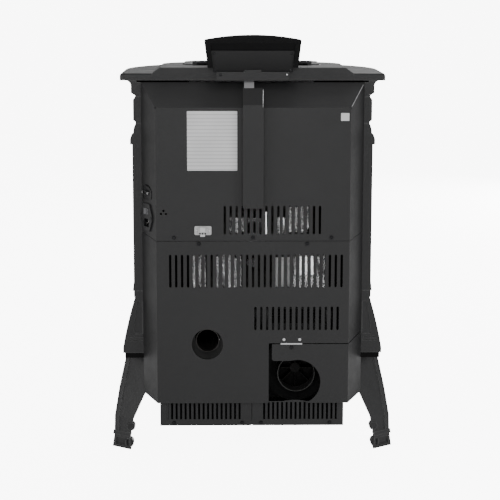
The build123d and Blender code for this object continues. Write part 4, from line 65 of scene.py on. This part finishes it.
def make_camera():
    yaw, tilt, roll = (math.radians(a) for a in (CAMERA_YAW, CAMERA_TILT, CAMERA_ROLL))
    forward = Vector((-math.sin(yaw) * math.cos(tilt),
                      -math.cos(yaw) * math.cos(tilt),
                      -math.sin(tilt)))
    right = forward.cross(Vector((0, 0, 1))).normalized()
    up = right.cross(forward)
    turn = Matrix((right, up, -forward)).transposed().to_4x4() @ Matrix.Rotation(roll, 4, "Z")
    data = bpy.data.cameras.new("camera")
    data.sensor_width = SENSOR_WIDTH
    data.lens = SENSOR_WIDTH * FOCAL_PIXELS / PHOTO_PIXELS
    data.clip_start = NEAR_CLIP
    data.clip_end = FAR_CLIP
    camera = bpy.data.objects.new("camera", data)
    bpy.context.scene.collection.objects.link(camera)
    camera.matrix_world = Matrix.Translation(CAMERA_PLACE) @ turn
    bpy.context.scene.camera = camera


make_camera()


# ---------------------------------------------------------------- material tools
BEVEL_SAMPLES = 4
MIX_A, MIX_B, MIX_COLOR = 6, 7, 2       # a Mix node's colour inputs, and its colour output
NOISE_LOW, NOISE_HIGH = 0.3, 0.7        # where nearly all of a noise texture's values lie
HIGHLIGHT_FROM, HIGHLIGHT_TO = 0.985, 0.80        # cosines between which an edge gets its painted highlight
WAVES_PER_UNIT = 3.18                   # bands of a wave texture per metre at scale 1


def is_socket(value):
    return hasattr(value, "links")


def grey(value):
    return (value, value, value)


class Mat:
    """A material under construction, with short calls for the nodes used here."""

    def __init__(self, name, color, rough, metal=0.0, **sockets):
        self.mat = bpy.data.materials.new(name)
        self.mat.use_nodes = True
        self.mat.diffuse_color = (*color, 1)
        self.tree = self.mat.node_tree
        self.shader = self.tree.nodes["Principled BSDF"]
        self.color = color
        self.rough = rough
        self.set("Base Color", (*color, 1))
        self.set("Roughness", rough)
        self.set("Metallic", metal)
        for key, value in sockets.items():
            self.set(key.replace("_", " "), value)
        self.coords = self.node("TexCoord").outputs["Object"]

    def set(self, socket, value):
        self.shader.inputs[socket].default_value = value

    def link(self, a, b):
        self.tree.links.new(a, b)

    def feed(self, socket, source):
        """Links a source to one of the shader's sockets."""
        self.link(source, self.shader.inputs[socket])

    def node(self, kind, **values):
        """New node; its inputs are named with underscores for spaces."""
        node = self.tree.nodes.new("ShaderNode" + kind)
        for key, value in values.items():
            node.inputs[key.replace("_", " ")].default_value = value
        return node

    def noise(self, scale, detail=4, rough=0.55, coords=None, distort=0.0):
        node = self.node("TexNoise", Scale=scale, Detail=detail, Roughness=rough,
                         Distortion=distort)
        self.link(coords or self.coords, node.inputs["Vector"])
        return node.outputs["Fac"]

    def bands(self, direction, scale, distort=0.0):
        node = self.node("TexWave", Scale=scale, Distortion=distort)
        node.wave_type = "BANDS"
        node.bands_direction = direction
        self.link(self.coords, node.inputs["Vector"])
        return node.outputs["Fac"]

    def stretch(self, x, y, z):
        node = self.node("Mapping", Scale=(x, y, z))
        self.link(self.coords, node.inputs["Vector"])
        return node.outputs["Vector"]

    def position(self):
        """Where the shaded point is, as X, Y and Z outputs."""
        split = self.node("SeparateXYZ")
        self.link(self.node("NewGeometry").outputs["Position"], split.inputs["Vector"])
        return split.outputs

    def ramp(self, fac, stops):
        node = self.node("ValToRGB")
        for element, (place, color) in zip(node.color_ramp.elements, stops):
            element.position = place
            element.color = (*color, 1)
        self.link(fac, node.inputs["Fac"])
        return node.outputs["Color"]

    def math(self, operation, *values):
        node = self.node("Math")
        node.operation = operation
        for socket, value in zip(node.inputs, values):
            if is_socket(value):
                self.link(value, socket)
            else:
                socket.default_value = value
        return node.outputs["Value"]

    def map(self, fac, low, high, start=0.0, end=1.0):
        node = self.node("MapRange", From_Min=start, From_Max=end, To_Min=low, To_Max=high)
        self.link(fac, node.inputs["Value"])
        return node.outputs["Result"]

    def mix(self, fac, a, b):
        node = self.node("Mix")
        node.data_type = "RGBA"
        self.link(fac, node.inputs["Factor"])
        for socket, color in ((node.inputs[MIX_A], a), (node.inputs[MIX_B], b)):
            if is_socket(color):
                self.link(color, socket)
            else:
                socket.default_value = (*color, 1)
        return node.outputs[MIX_COLOR]

    def bevel(self, radius):
        """Normal that is eased over the edges."""
        node = self.node("Bevel", Radius=radius)
        node.samples = BEVEL_SAMPLES
        return node.outputs["Normal"]

    def blotch(self, amount, scale=7.0):
        """Colour that drifts a little over the surface."""
        dark = tuple(max(0.0, c * (1 - amount)) for c in self.color)
        light = tuple(min(1.0, c * (1 + amount)) for c in self.color)
        tone = self.ramp(self.noise(scale, 5), [(NOISE_LOW, dark), (NOISE_HIGH, light)])
        self.feed("Base Color", tone)
        return tone

    def edges(self, tone, color, reach):
        """Paints a highlight: lets the colour run lighter over the edges, where they catch the
        light.
        """
        dot = self.node("VectorMath")
        dot.operation = "DOT_PRODUCT"
        self.link(self.bevel(reach), dot.inputs[0])
        self.link(self.node("NewGeometry").outputs["Normal"], dot.inputs[1])
        # painted highlight: lighter the more the eased normal turns from the true one
        edge_light = self.map(dot.outputs["Value"], 1.0, 0.0, HIGHLIGHT_TO, HIGHLIGHT_FROM)
        self.feed("Base Color", self.mix(edge_light, tone, color))

    def roughness(self, spread, scale):
        """Roughness that varies by this spread to both sides."""
        fac = self.noise(scale, 6, 0.6)
        self.feed("Roughness", self.map(fac, self.rough - spread, self.rough + spread,
                                         NOISE_LOW, NOISE_HIGH))

    def bump(self, layers, edge):
        """Surface grain: (factor, depth in metres) layers, over edges eased by this radius."""
        normal = self.bevel(edge) if edge else None
        for fac, depth in layers:
            node = self.node("Bump", Strength=1.0, Distance=depth)
            self.link(fac, node.inputs["Height"])
            if normal:
                self.link(normal, node.inputs["Normal"])
            normal = node.outputs["Normal"]
        self.feed("Normal", normal)


# ---------------------------------------------------------------- materials
def powder_coat(name, color, rough=0.42, gloss=0.5, edge=0.0):
    """Sprayed paint; edge is the grey of the highlight painted along its edges."""
    m = Mat(name, color, rough, Specular_IOR_Level=gloss)
    tone = m.blotch(amount=0.10)
    if edge:
        # painted highlight along the edges
        m.edges(tone, grey(edge), reach=0.0016)
    m.roughness(spread=0.05, scale=30)
    m.bump([(m.noise(900, 3), 0.00012), (m.noise(45, 2), 0.00025)], edge=0.0009)
    return m.mat


def lit_from_above_paint(name, low, high, z0, z1):
    """Satin paint with painted light: lighter from one height to the next, as if lit from above."""
    m = Mat(name, low, 0.42, Specular_IOR_Level=0.22)
    # painted light: the colour rises towards the top
    rise = m.map(m.position()["Z"], 0.0, 0.9, z0, z1)
    drift = m.math("ADD", rise, m.map(m.noise(9, 3), -0.12, 0.12))
    m.feed("Base Color", m.mix(m.math("MAXIMUM", drift, 0.0), low, high))
    m.roughness(spread=0.05, scale=30)
    m.bump([(m.noise(900, 3), 0.0001)], edge=0.0006)
    return m.mat


def cast_paint(name, color):
    """Paint on rough castings, with a highlight painted along their edges."""
    m = Mat(name, color, 0.46, Specular_IOR_Level=0.5)
    # painted highlight: light grey along the castings' edges
    m.edges(m.blotch(amount=0.14, scale=11), (0.075, 0.075, 0.076), reach=0.0035)
    m.roughness(spread=0.07, scale=22)
    m.bump([(m.noise(520, 5, 0.65), 0.00030), (m.noise(70, 3), 0.0006)], edge=0.0016)
    return m.mat


def moulded(name, color, rough=0.35, grain=0.00006, scale=1500, gloss=0.5):
    m = Mat(name, color, rough, Specular_IOR_Level=gloss)
    m.blotch(amount=0.08, scale=16)
    m.roughness(spread=0.04, scale=60)
    m.bump([(m.noise(scale, 2), grain)], edge=0.0006)
    return m.mat


def steel(name, color, rough=0.3):
    """Drawn or rolled steel, with fine streaks."""
    m = Mat(name, color, rough, metal=1.0)
    m.blotch(amount=0.15, scale=18)
    streaks = m.noise(60, 4, 0.6, m.stretch(1, 1, 30))
    m.feed("Roughness", m.map(streaks, rough - 0.08, rough + 0.12, NOISE_LOW, NOISE_HIGH))
    m.bump([(streaks, 0.00004), (m.noise(700, 2), 0.00004)], edge=0.0005)
    return m.mat


def heat_steel(name, color):
    """Steel with soot, as it is round a fire."""
    m = Mat(name, color, 0.5, metal=0.85)
    sooty = tuple(c * 0.35 for c in color)
    m.feed("Base Color", m.ramp(m.noise(9, 6, 0.6), [(0.35, sooty), (0.68, color)]))
    m.roughness(spread=0.12, scale=14)
    m.bump([(m.noise(180, 6), 0.0002)], edge=0.0008)
    return m.mat


def pipe_end(name, x, z, bore, rim_y):
    """Sooty pipe round a Y axis: black flange, grey inside, bare metal round its cut end."""
    black, bare = grey(0.006), (0.11, 0.11, 0.108)
    m = Mat(name, black, 0.55, Specular_IOR_Level=0.15)
    place = m.position()
    squares = [m.math("POWER", m.math("SUBTRACT", place[axis], middle), 2.0)
               for axis, middle in (("X", x), ("Z", z))]
    away = m.math("SQRT", m.math("ADD", *squares))
    inside = m.map(away, 1.0, 0.0, bore + 0.0002, bore + 0.0004)
    at_end = m.map(place["Y"], 0.0, 1.0, rim_y - 0.0004, rim_y - 0.0002)
    soot = m.ramp(m.noise(40, 5), [(NOISE_LOW, grey(0.035)), (NOISE_HIGH, (0.06, 0.06, 0.059))])
    m.feed("Base Color", m.mix(at_end, m.mix(inside, black, soot), bare))
    m.roughness(spread=0.08, scale=30)
    m.bump([(m.noise(300, 4), 0.0001)], edge=0)
    return m.mat


def foil(name, rough=0.15, crease=0.0012):
    """Crumpled aluminium foil, or thin bright sheet with slight waves."""
    m = Mat(name, (0.93, 0.93, 0.94), rough, metal=1.0)
    m.blotch(amount=0.05, scale=60)
    m.roughness(spread=0.05, scale=90)
    m.bump([(m.noise(160, 5, 0.6, distort=0.6), crease), (m.noise(620, 3), crease / 6)], edge=0)
    return m.mat


def printed_board(name):
    m = Mat(name, (0.02, 0.09, 0.045), 0.35)
    tracks = m.node("TexBrick", Scale=90, Mortar_Size=0.06)
    m.link(m.stretch(1, 1, 1.7), tracks.inputs["Vector"])
    track = tracks.outputs["Fac"]
    m.feed("Base Color", m.mix(track, (0.018, 0.08, 0.04), (0.03, 0.14, 0.07)))
    m.bump([(track, 0.00005)], edge=0.0004)
    return m.mat


def rope(name):
    """Glass-fibre rope of twisted strands."""
    m = Mat(name, (0.16, 0.155, 0.15), 0.9)
    strands = m.bands("DIAGONAL", 160, distort=1.5)
    m.feed("Base Color", m.mix(strands, (0.09, 0.09, 0.088), (0.24, 0.235, 0.23)))
    m.bump([(strands, 0.0006), (m.noise(900, 3), 0.0003)], edge=0)
    return m.mat


def fire_glass(name):
    """Fire door glass with a brownish haze of soot."""
    m = Mat(name, (0.8, 0.78, 0.74), 0.04, Transmission_Weight=1.0, IOR=1.3)
    haze = m.noise(6, 6, 0.6)
    m.feed("Roughness", m.map(haze, 0.0, 0.03, 0.35, 0.75))
    m.feed("Base Color", m.ramp(haze, [(0.3, (0.62, 0.60, 0.56)), (0.75, (0.30, 0.285, 0.26))]))
    return m.mat


def ribbon(name, color, pitch):
    """Flat cable of many wires side by side."""
    m = Mat(name, color, 0.4)
    wires = m.bands("X", 1 / pitch / WAVES_PER_UNIT)
    m.feed("Base Color", m.mix(wires, tuple(c * 0.72 for c in color), color))
    m.bump([(wires, 0.0003)], edge=0.0003)
    return m.mat


def label_paper(name, ruled=False):
    """Pale film label, bare or with plain ruled rows and nothing written in them."""
    m = Mat(name, grey(0.70), 0.42, Specular_IOR_Level=0.4)
    film = m.ramp(m.noise(14, 4), [(NOISE_LOW, (0.66, 0.66, 0.665)),
                                   (NOISE_HIGH, (0.74, 0.74, 0.745))])
    if ruled:
        line = m.map(m.bands("Z", 42), 0.0, 0.62, 0.86, 1.0)
        film = m.mix(line, film, (0.30, 0.30, 0.31))
    m.feed("Base Color", film)
    m.roughness(spread=0.05, scale=60)
    m.bump([(m.noise(260, 3), 0.00003)], edge=0)
    return m.mat


# finish of each material slot of the record
SLOT_MATS = {
    # the casing's coat gets a painted highlight along its edges and creases
    "sheet_black": powder_coat("casing_coat", (0.014, 0.014, 0.0146), edge=0.03),
    "cast_black": cast_paint("cast_coat", (0.013, 0.013, 0.0136)),
    "fire_steel": heat_steel("fire_steel", (0.16, 0.155, 0.15)),
    "zinc_steel": steel("zinc_steel", (0.62, 0.62, 0.63)),
    "screw_black": steel("screw_black", (0.03, 0.03, 0.032), rough=0.38),
    "ribbon_grey": ribbon("ribbon_grey", (0.46, 0.46, 0.47), pitch=0.00127),
    "moulded_black": moulded("inlet_black", (0.012, 0.012, 0.013), rough=0.42),
    "rocker_black": moulded("rocker_black", (0.10, 0.10, 0.105), rough=0.18),
    "terminal_plate": moulded("terminal_plate", grey(0.48), rough=0.4),
    "board_green": printed_board("board_green"),
    "fire_glass": fire_glass("fire_glass"),
    "rope_seal": rope("rope_seal"),
    "handle_black": powder_coat("handle_black", (0.02, 0.02, 0.021), rough=0.35),
    "console_plastic": moulded("console_black", (0.0024, 0.0024, 0.0027), rough=0.36,
                               grain=0.0001, scale=900, gloss=0.13),
    # console plate: painted light, lighter towards its top
    "console_plate": lit_from_above_paint("console_plate", (0.004, 0.004, 0.0043),
                                    (0.021, 0.021, 0.0215), z0=0.806, z1=0.852),
    "button_grey": moulded("button_grey", (0.09, 0.09, 0.093), rough=0.5),
}

# nodes that show brighter or darker than their slot's finish
NODE_MATS = {
    "cover_bracket": steel("bright_zinc", (0.72, 0.72, 0.73), rough=0.28),
    "serial_port": moulded("port_black", (0.012, 0.012, 0.013), rough=0.4),
    # painted shade: the blower rotor is painted near black for the shade behind the slots
    "blower_rotor": powder_coat("rotor_shade_coat", grey(0.012), rough=0.6, gloss=0.2),
    # painted shade: the smoke fan impeller is a darker copy of the fire steel, over its soot
    "smoke_fan_impeller": heat_steel("sooty_shaded_steel", (0.035, 0.034, 0.033)),
    # painted shade: blower housing and motor are painted near black for the shade behind the slots
    "blower_housing": powder_coat("blower_shade_coat", (0.02, 0.02, 0.021), rough=0.5),
    "blower_motor": powder_coat("motor_shade_coat", (0.02, 0.02, 0.021), rough=0.5),
    "inlet_pins": steel("pin_metal", (0.7, 0.69, 0.66), rough=0.25),
    "exhaust_pipe": pipe_end("flue_end", x=-0.094, z=0.160, bore=0.0385, rim_y=0.1655),
    # painted shade: the smoke fan housing is painted near black for the shade inside the flue
    "smoke_fan_housing": powder_coat("fan_shade_coat", grey(0.008), rough=0.55, gloss=0.2),
    "ash_drawer": powder_coat("drawer_coat", (0.016, 0.016, 0.0165), rough=0.45),
    "base_plate": powder_coat("shadow_coat", grey(0.003), rough=0.6, gloss=0.1),
}


def dress_nodes():
    """Gives every CAD node its finish."""
    slots = {entry["node"]: entry.get("material_slot", entry["node"])
             for entry in frame["record"]["subparts"]}
    for name, node in NODES.items():
        wanted = NODE_MATS.get(name) or SLOT_MATS[slots[name]]
        if not node.material_slots:
            node.data.materials.append(wanted)
        for slot in node.material_slots:
            slot.material = wanted


dress_nodes()


# ---------------------------------------------------------------- shape tools
CORNER_STEPS = 5         # points round a plate's corner, less one
SMALLEST_CORNER = 1e-4
HEAD_SIDES = 32
HEAD_ROOT = -0.0005      # screw heads start a little below the surface
CROSS_REACH, CROSS_HALF = 0.45, 0.11    # arms of a head's cross, as shares of its radius
CROSS_FOOT, CROSS_PROUD = 0.6, 0.00004  # share of the head's height, and metres
# from the rim to the top, as shares of a head's radius and height
HEAD_PROFILE = ((1.0, 0.35), (0.9, 0.72), (0.72, 0.93), (0.5, 1.0))
POST_CHAMFER, POST_TOP = 0.0004, 0.92
BORE_DEPTH = 0.002
RING_SIDES = 64
RING_EASE = 0.4          # share of the ring's thickness
STRIP_TOP, STRIP_END = 0.6, 0.35        # its top's and its ends' width, as shares
ROD_SIDES = 10
# share of a rod's length, and share of its radius there
ROD_PROFILE = ((0, 0.4), (0.06, 1), (0.5, 1), (0.94, 1), (1, 0.4))


def piece(name, build, material, place=None, body="stove"):
    """Makes a piece from a bmesh builder and hands it to its body."""
    mesh = bmesh.new()
    build(mesh)
    data = bpy.data.meshes.new(name)
    if place:
        mesh.transform(place)
    bmesh.ops.recalc_face_normals(mesh, faces=mesh.faces)
    mesh.to_mesh(data)
    mesh.free()
    obj = bpy.data.objects.new(name, data)
    bpy.context.scene.collection.objects.link(obj)
    obj.data.materials.append(material)
    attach(obj, body)


def rear_place(x, z, depth=0.0):
    """Places a piece built in XY, facing +Z, on the rear; its x runs to -X and its y up."""
    turn = Matrix(((-1, 0, 0), (0, 0, 1), (0, 1, 0))).to_4x4()
    return Matrix.Translation((x, back(depth), z)) @ turn


def facet_place(along, z, out=0.0):
    """Places such a piece on the +X side facet, this far from its crease."""
    sin, cos = FACET_RUN / FACET_LENGTH, CASING_DEPTH / FACET_LENGTH
    normal = Vector((cos, sin, 0))
    across = Vector((-sin, cos, 0))
    origin = Vector((CREASE_HALF + along * sin, REAR_Y - along * cos, z)) + normal * out
    turn = Matrix((across, Vector((0, 0, 1)), normal)).transposed().to_4x4()
    return Matrix.Translation(origin) @ turn


def circle(radius, sides):
    """Points of a regular polygon, counter-clockwise."""
    angles = (2 * math.pi * i / sides for i in range(sides))
    return [(radius * math.cos(a), radius * math.sin(a)) for a in angles]


def rounded_loop(wide, high, corner):
    """Points of a rounded rectangle, counter-clockwise."""
    points = []
    for side_x, side_y, start in ((1, 1, 0), (-1, 1, 90), (-1, -1, 180), (1, -1, 270)):
        for step in range(CORNER_STEPS + 1):
            angle = math.radians(start + 90 * step / CORNER_STEPS)
            points.append((side_x * (wide / 2 - corner) + corner * math.cos(angle),
                           side_y * (high / 2 - corner) + corner * math.sin(angle)))
    return points


def level_ring(mesh, points, z):
    return [mesh.verts.new((x, y, z)) for x, y in points]


def bridge(mesh, rings):
    """Joins each ring of vertices to the next one."""
    for low, high in zip(rings, rings[1:]):
        count = len(low)
        for i in range(count):
            after = (i + 1) % count
            mesh.faces.new((low[i], low[after], high[after], high[i]))


def close_up(mesh, rings):
    """Joins the rings and closes both ends."""
    bridge(mesh, rings)
    mesh.faces.new(list(reversed(rings[0])))
    mesh.faces.new(rings[-1])


def stack(mesh, levels):
    """Closes a pile of point rings, each with its height, into a solid."""
    close_up(mesh, [level_ring(mesh, points, z) for points, z in levels])


def plate(wide, high, thick, corner=0.001, edge=0.0003):
    """Thin plate with eased upper edges."""
    foot = rounded_loop(wide, high, corner)
    top = rounded_loop(wide - 2 * edge, high - 2 * edge, max(corner - edge, SMALLEST_CORNER))
    return lambda mesh: stack(mesh, [(foot, 0.0), (foot, thick - edge), (top, thick)])


def pan_head(radius, high):
    """Pan head, with a cross that stands out by a hair."""
    levels = [(1.0, HEAD_ROOT)] + [(share, high * rise) for share, rise in HEAD_PROFILE]

    def build(mesh):
        stack(mesh, [(circle(radius * share, HEAD_SIDES), z) for share, z in levels])
        arm, half = radius * CROSS_REACH, radius * CROSS_HALF
        bar = ((-arm, -half), (arm, -half), (arm, half), (-arm, half))
        for corners in (bar, [(-y, x) for x, y in bar]):
            stack(mesh, [(corners, high * CROSS_FOOT), (corners, high + CROSS_PROUD)])
    return build


def hex_post(radius, high, bore):
    """Hexagonal jack post with a blind bore."""
    levels = ((radius, 0.0), (radius, high - POST_CHAMFER), (radius * POST_TOP, high),
              (bore, high), (bore, high - BORE_DEPTH))
    return lambda mesh: stack(mesh, [(circle(size, 6), z) for size, z in levels])


def ring_plate(inner, outer, thick):
    """Flat ring with eased rims."""
    ease = thick * RING_EASE
    profile = ((inner, 0.0), (outer, 0.0), (outer, thick - ease), (outer - ease, thick),
               (inner + ease, thick), (inner, thick - ease))

    def build(mesh):
        rings = [level_ring(mesh, circle(radius, RING_SIDES), z) for radius, z in profile]
        bridge(mesh, rings + rings[:1])
    return build


def strip(points, wide, thick):
    """Raised band along a line of points, tapered at both ends."""
    last = len(points) - 1

    def build(mesh):
        rings = []
        for i, (x, y) in enumerate(points):
            before, after = Vector(points[max(i - 1, 0)]), Vector(points[min(i + 1, last)])
            run = (after - before).normalized()
            side = Vector((-run.y, run.x)) * wide / 2 * (STRIP_END if i in (0, last) else 1.0)
            section = ((-1, 0), (-STRIP_TOP, thick), (STRIP_TOP, thick), (1, 0))
            rings.append([mesh.verts.new((x + side.x * share, y + side.y * share, z))
                          for share, z in section])
        close_up(mesh, rings)
    return build


def rod(start, end, radius):
    """Fine rod between two places, slimmer at both ends."""
    def build(mesh):
        a, b = Vector(start), Vector(end)
        side = (b - a).cross(Vector((0, 0, 1))).normalized()
        other = (b - a).normalized().cross(side)
        close_up(mesh, [[mesh.verts.new(a + (b - a) * share + side * x + other * y)
                         for x, y in circle(radius * size, ROD_SIDES)]
                        for share, size in ROD_PROFILE])
    return build


# ---------------------------------------------------------------- labels and screws
bright_steel = steel("bright_screw", (0.66, 0.66, 0.67), rough=0.24)
dark_steel = steel("dark_screw", (0.035, 0.035, 0.037), rough=0.36)

piece("rating_plate", plate(0.1025, 0.122, thick=0.00025, corner=0.0015, edge=0.0001),
      label_paper("label_film", ruled=True), rear_place(0.08375, 0.668))
piece("small_sticker", plate(0.017, 0.016, thick=0.0002, edge=0.0001),
      label_paper("sticker_film"), rear_place(-0.1875, 0.717))

CONSOLE_PLATE_DEPTH, BRACKET_DEPTH = 0.0443, 0.039
CONSOLE_SCREWS = ((0.0795, 0.843), (-0.0795, 0.843), (0.0775, 0.8095), (-0.0775, 0.8095))
for index, (x, z) in enumerate(CONSOLE_SCREWS):
    piece(f"plate_screw_{index}", pan_head(0.0026, 0.0014), dark_steel,
          rear_place(x, z, CONSOLE_PLATE_DEPTH), "console")
piece("bracket_screw_left", pan_head(0.0021, 0.0014), bright_steel,
      rear_place(-0.0700, 0.8005, BRACKET_DEPTH))
piece("bracket_screw_right", pan_head(0.0030, 0.0016), dark_steel,
      rear_place(0.0665, 0.8000, BRACKET_DEPTH))

# middles of serial port, terminal block and mains inlet, and half their screws' spacing
PORT_ALONG, PORT_Z, PORT_HALF = 0.74 * FACET_LENGTH - 0.0035, 0.557, 0.0125
BLOCK_X, BLOCK_Z, BLOCK_HALF = 0.1033, 0.4825, 0.0125
INLET_ALONG, INLET_Z, INLET_HALF, INLET_SKEW = 0.0401, 0.5067, 0.0225, 0.0028
for letter, side in (("a", -1), ("b", 1)):
    piece(f"jack_post_{letter}", hex_post(0.00295, 0.0052, 0.0014), bright_steel,
          facet_place(PORT_ALONG + side * PORT_HALF, PORT_Z, -0.0011))
    piece(f"terminal_screw_{letter}", pan_head(0.0022, 0.0010), bright_steel,
          rear_place(BLOCK_X + side * BLOCK_HALF, BLOCK_Z, -0.0015))
    piece(f"inlet_screw_{letter}", pan_head(0.0021, 0.0012), dark_steel,
          facet_place(INLET_ALONG + side * INLET_HALF, INLET_Z + side * INLET_SKEW, 0.0002))


# ---------------------------------------------------------------- behind the grilles
FOIL_PITCH = 0.0022      # mesh pitch of foil and shields
FOIL_THICK = 0.0004
FOIL_HEM = 0.004         # how far a sheet turns in at its sides
HEM_SHARE = 0.25         # of its width, at each side
FOLD_STRETCH = 0.7       # folds run longer upwards than across
CREASE_SCALE, CREASE_SHARE = 2.3, 0.6
CREASE_SHIFT = Vector((7, 3, 1))
SEED_SHIFT = 0.37


def crumpled(x_range, z_range, depth, swell, cell, seed, tilt):
    """Sheet behind the cover in folds about one cell wide, turned in at its sides."""
    def build(mesh):
        (x0, x1), (z0, z1) = x_range, z_range
        columns, rows = (max(3, int((high - low) / FOIL_PITCH)) for low, high in (x_range, z_range))
        grid = []
        for i in range(columns + 1):
            x = x0 + (x1 - x0) * i / columns
            inward = min(i, columns - i) / columns / HEM_SHARE
            hem = FOIL_HEM * max(0.0, 1 - inward)
            line = []
            for j in range(rows + 1):
                z = z0 + (z1 - z0) * j / rows
                spot = Vector((x / cell + seed, z / cell * FOLD_STRETCH, seed * SEED_SHIFT))
                crease = abs(noise.noise(spot * CREASE_SCALE + CREASE_SHIFT))
                fold = noise.noise(spot) + CREASE_SHARE * crease
                lean = (z - (z0 + z1) / 2) * tilt
                line.append(mesh.verts.new((x, back(depth + lean + swell * fold + hem), z)))
            grid.append(line)
        faces = [mesh.faces.new((a, b, c, d)) for low, high in zip(grid, grid[1:])
                 for a, b, c, d in zip(low, high, high[1:], low[1:])]
        bmesh.ops.solidify(mesh, geom=faces, thickness=FOIL_THICK)
    return build


foil_mat = foil("insulation_foil")
shield_mat = foil("shield_zinc", rough=0.22, crease=0.00012)
dull_mat = foil("dull_zinc", rough=0.42, crease=0.0002)
SHEETS = (
    # name, X range, Z range, depth, swell, cell, seed, tilt, material
    ("foil_hose_left", (0.098, 0.132), (0.362, 0.430), 0.012, 0.0035, 0.012, 3.1, 0.12, foil_mat),
    ("foil_hose_right", (0.024, 0.077), (0.360, 0.432), 0.012, 0.0038, 0.011, 8.4, 0.20, foil_mat),
    ("channel_side", (-0.0795, -0.044), (0.362, 0.424), 0.012, 0.0005, 0.030, 2.2, 0.06, dull_mat),
    ("channel_shield", (-0.149, -0.081), (0.389, 0.431), 0.010, 0.0008, 0.030, 1.7, 0.27,
     shield_mat),
    ("channel_shield_low", (-0.149, -0.081), (0.360, 0.387), 0.011, 0.0022, 0.014, 5.2, 0.22,
     foil_mat),
    ("motor_foil", (0.019, 0.048), (0.476, 0.507), 0.014, 0.0030, 0.010, 2.6, 0.15, foil_mat),
    ("feed_shield", (-0.031, -0.0235), (0.475, 0.519), 0.010, 0.0004, 0.020, 6.6, 0.27, shield_mat),
    ("feed_bracket", (-0.069, -0.047), (0.476, 0.507), 0.010, 0.0004, 0.020, 4.4, 0.27, shield_mat),
    ("feed_foil", (-0.115, -0.073), (0.478, 0.531), 0.012, 0.0036, 0.010, 9.3, 0.15, foil_mat),
)
for name, *shape, material in SHEETS:
    piece(name, crumpled(*shape), material)

# dark boards beside the firebox: painted shade that closes the view through the middle slots
BOARD_X, BOARD_Z, BOARD_DEPTH = 0.1745, 0.400, 0.132
for letter, side in (("a", -1), ("b", 1)):
    piece(f"shade_board_{letter}", plate(0.097, 0.100, thick=0.002, corner=0.002),
          powder_coat(f"shade_board_coat_{letter}", grey(0.01), rough=0.7, gloss=0.1),
          rear_place(side * BOARD_X, BOARD_Z, BOARD_DEPTH))
piece("intake_collar", ring_plate(0.0256, 0.044, thick=0.0015),
      powder_coat("collar_coat", grey(0.05), rough=0.4),
      rear_place(0.095, 0.242, 0.050))


# ---------------------------------------------------------------- trims and marks
raised_mat = moulded("terminal_raised", grey(0.62), rough=0.4)
piece("terminal_bridge", plate(0.0115, 0.0105, thick=0.0022), raised_mat,
      rear_place(0.1040, 0.4850, -0.0040))
piece("terminal_tab", plate(0.0100, 0.0050, thick=0.0014), raised_mat,
      rear_place(0.1040, 0.4728, -0.0016))

dark_mark_mat = moulded("dark_mark_black", grey(0.003), rough=0.6, gloss=0.1)
# painted shadow along the edge of the serial port's recess: distance from the crease, and height
PORT_LINE = ((0.050, 0.573), (0.041, 0.5725), (0.033, 0.571), (0.027, 0.5685), (0.022, 0.565),
             (0.0195, 0.5605), (0.0185, 0.555), (0.0195, 0.549), (0.0225, 0.544))
piece("port_shadow_line", strip([(-along, z) for along, z in PORT_LINE], wide=0.0040, thick=0.0004),
      dark_mark_mat, facet_place(0.0, 0.0, 0.00002))
for index, x in enumerate((0.1095, 0.1040, 0.0985)):
    piece(f"terminal_slot_{index}",
          plate(0.0026, 0.0034, thick=0.0003, corner=0.0008, edge=0.0001), dark_mark_mat,
          rear_place(x, 0.4770, -0.0041))
# painted highlight: a pale film on the rocker switch for its sheen
piece("rocker_highlight", plate(0.0140, 0.0070, thick=0.0002, corner=0.0012, edge=0.0001),
      label_paper("rocker_highlight_film"), facet_place(0.0420, 0.5185, 0.0012), "rocker")

# painted highlights: bright steel along the casing's mitre and down the duct's bend
piece("mitre_highlight",
      rod((-0.2006, back(0.0014), 0.7370), (-0.2290, back(0.0526), 0.7800), radius=0.0008),
      bright_steel)
piece("duct_highlight",
      strip([(0, y) for y in (0.0, -0.010, -0.022, -0.036)], wide=0.0022, thick=0.0003),
      bright_steel, rear_place(-0.0197, 0.7740, -0.018))


# ---------------------------------------------------------------- stage
FLOOR_SIZE = 600
SWEEP_GLOW = 8.0
STAGE_TONE = (0.92, 0.92, 0.92)
WORLD_STRENGTH = 0.57
SOFTBOXES = (
    # name, place, aim, width, height, power in watts
    ("front", (0.4, 5.6, 2.5), (0, 0.2, 0.5), 2.0, 2.0, 46),
    ("key", (-2.6, 2.6, 1.6), (0, 0.2, 0.5), 1.6, 1.6, 30),
    ("fill", (2.8, 2.2, 1.2), (0, 0.2, 0.4), 1.4, 1.4, 24),
    ("top", (-0.4, -1.6, 2.6), (0, 0, 0.8), 1.6, 1.6, 22),
    ("rim", (-2.2, -3.9, 1.0), (-0.25, 0.0, 0.4), 1.0, 1.6, 160),
)


def make_stage():
    bpy.ops.mesh.primitive_plane_add(size=FLOOR_SIZE, location=(0, 0, 0))
    floor = bpy.context.object
    floor.name = "floor"
    m = Mat("floor_pale", STAGE_TONE, 0.75, Specular_IOR_Level=0.2)
    m.blotch(amount=0.01, scale=1)
    m.set("Emission Color", (1, 1, 1, 1))
    # lit like a studio sweep: bright to look at, without glaring in the paint
    seen = m.node("LightPath").outputs["Is Camera Ray"]
    m.feed("Emission Strength", m.map(seen, 0.0, SWEEP_GLOW))
    floor.data.materials.append(m.mat)
    world = bpy.data.worlds.new("studio")
    bpy.context.scene.world = world
    world.use_nodes = True
    background = world.node_tree.nodes["Background"]
    background.inputs["Color"].default_value = (*STAGE_TONE, 1)
    background.inputs["Strength"].default_value = WORLD_STRENGTH


def softbox(name, place, aim, wide, high, power):
    data = bpy.data.lights.new(name, "AREA")
    data.shape = "RECTANGLE"
    data.size = wide
    data.size_y = high
    data.energy = power
    light = bpy.data.objects.new(name, data)
    bpy.context.scene.collection.objects.link(light)
    light.location = place
    light.rotation_euler = (Vector(aim) - Vector(place)).to_track_quat("-Z", "Y").to_euler()


make_stage()
for box in SOFTBOXES:
    softbox(*box)
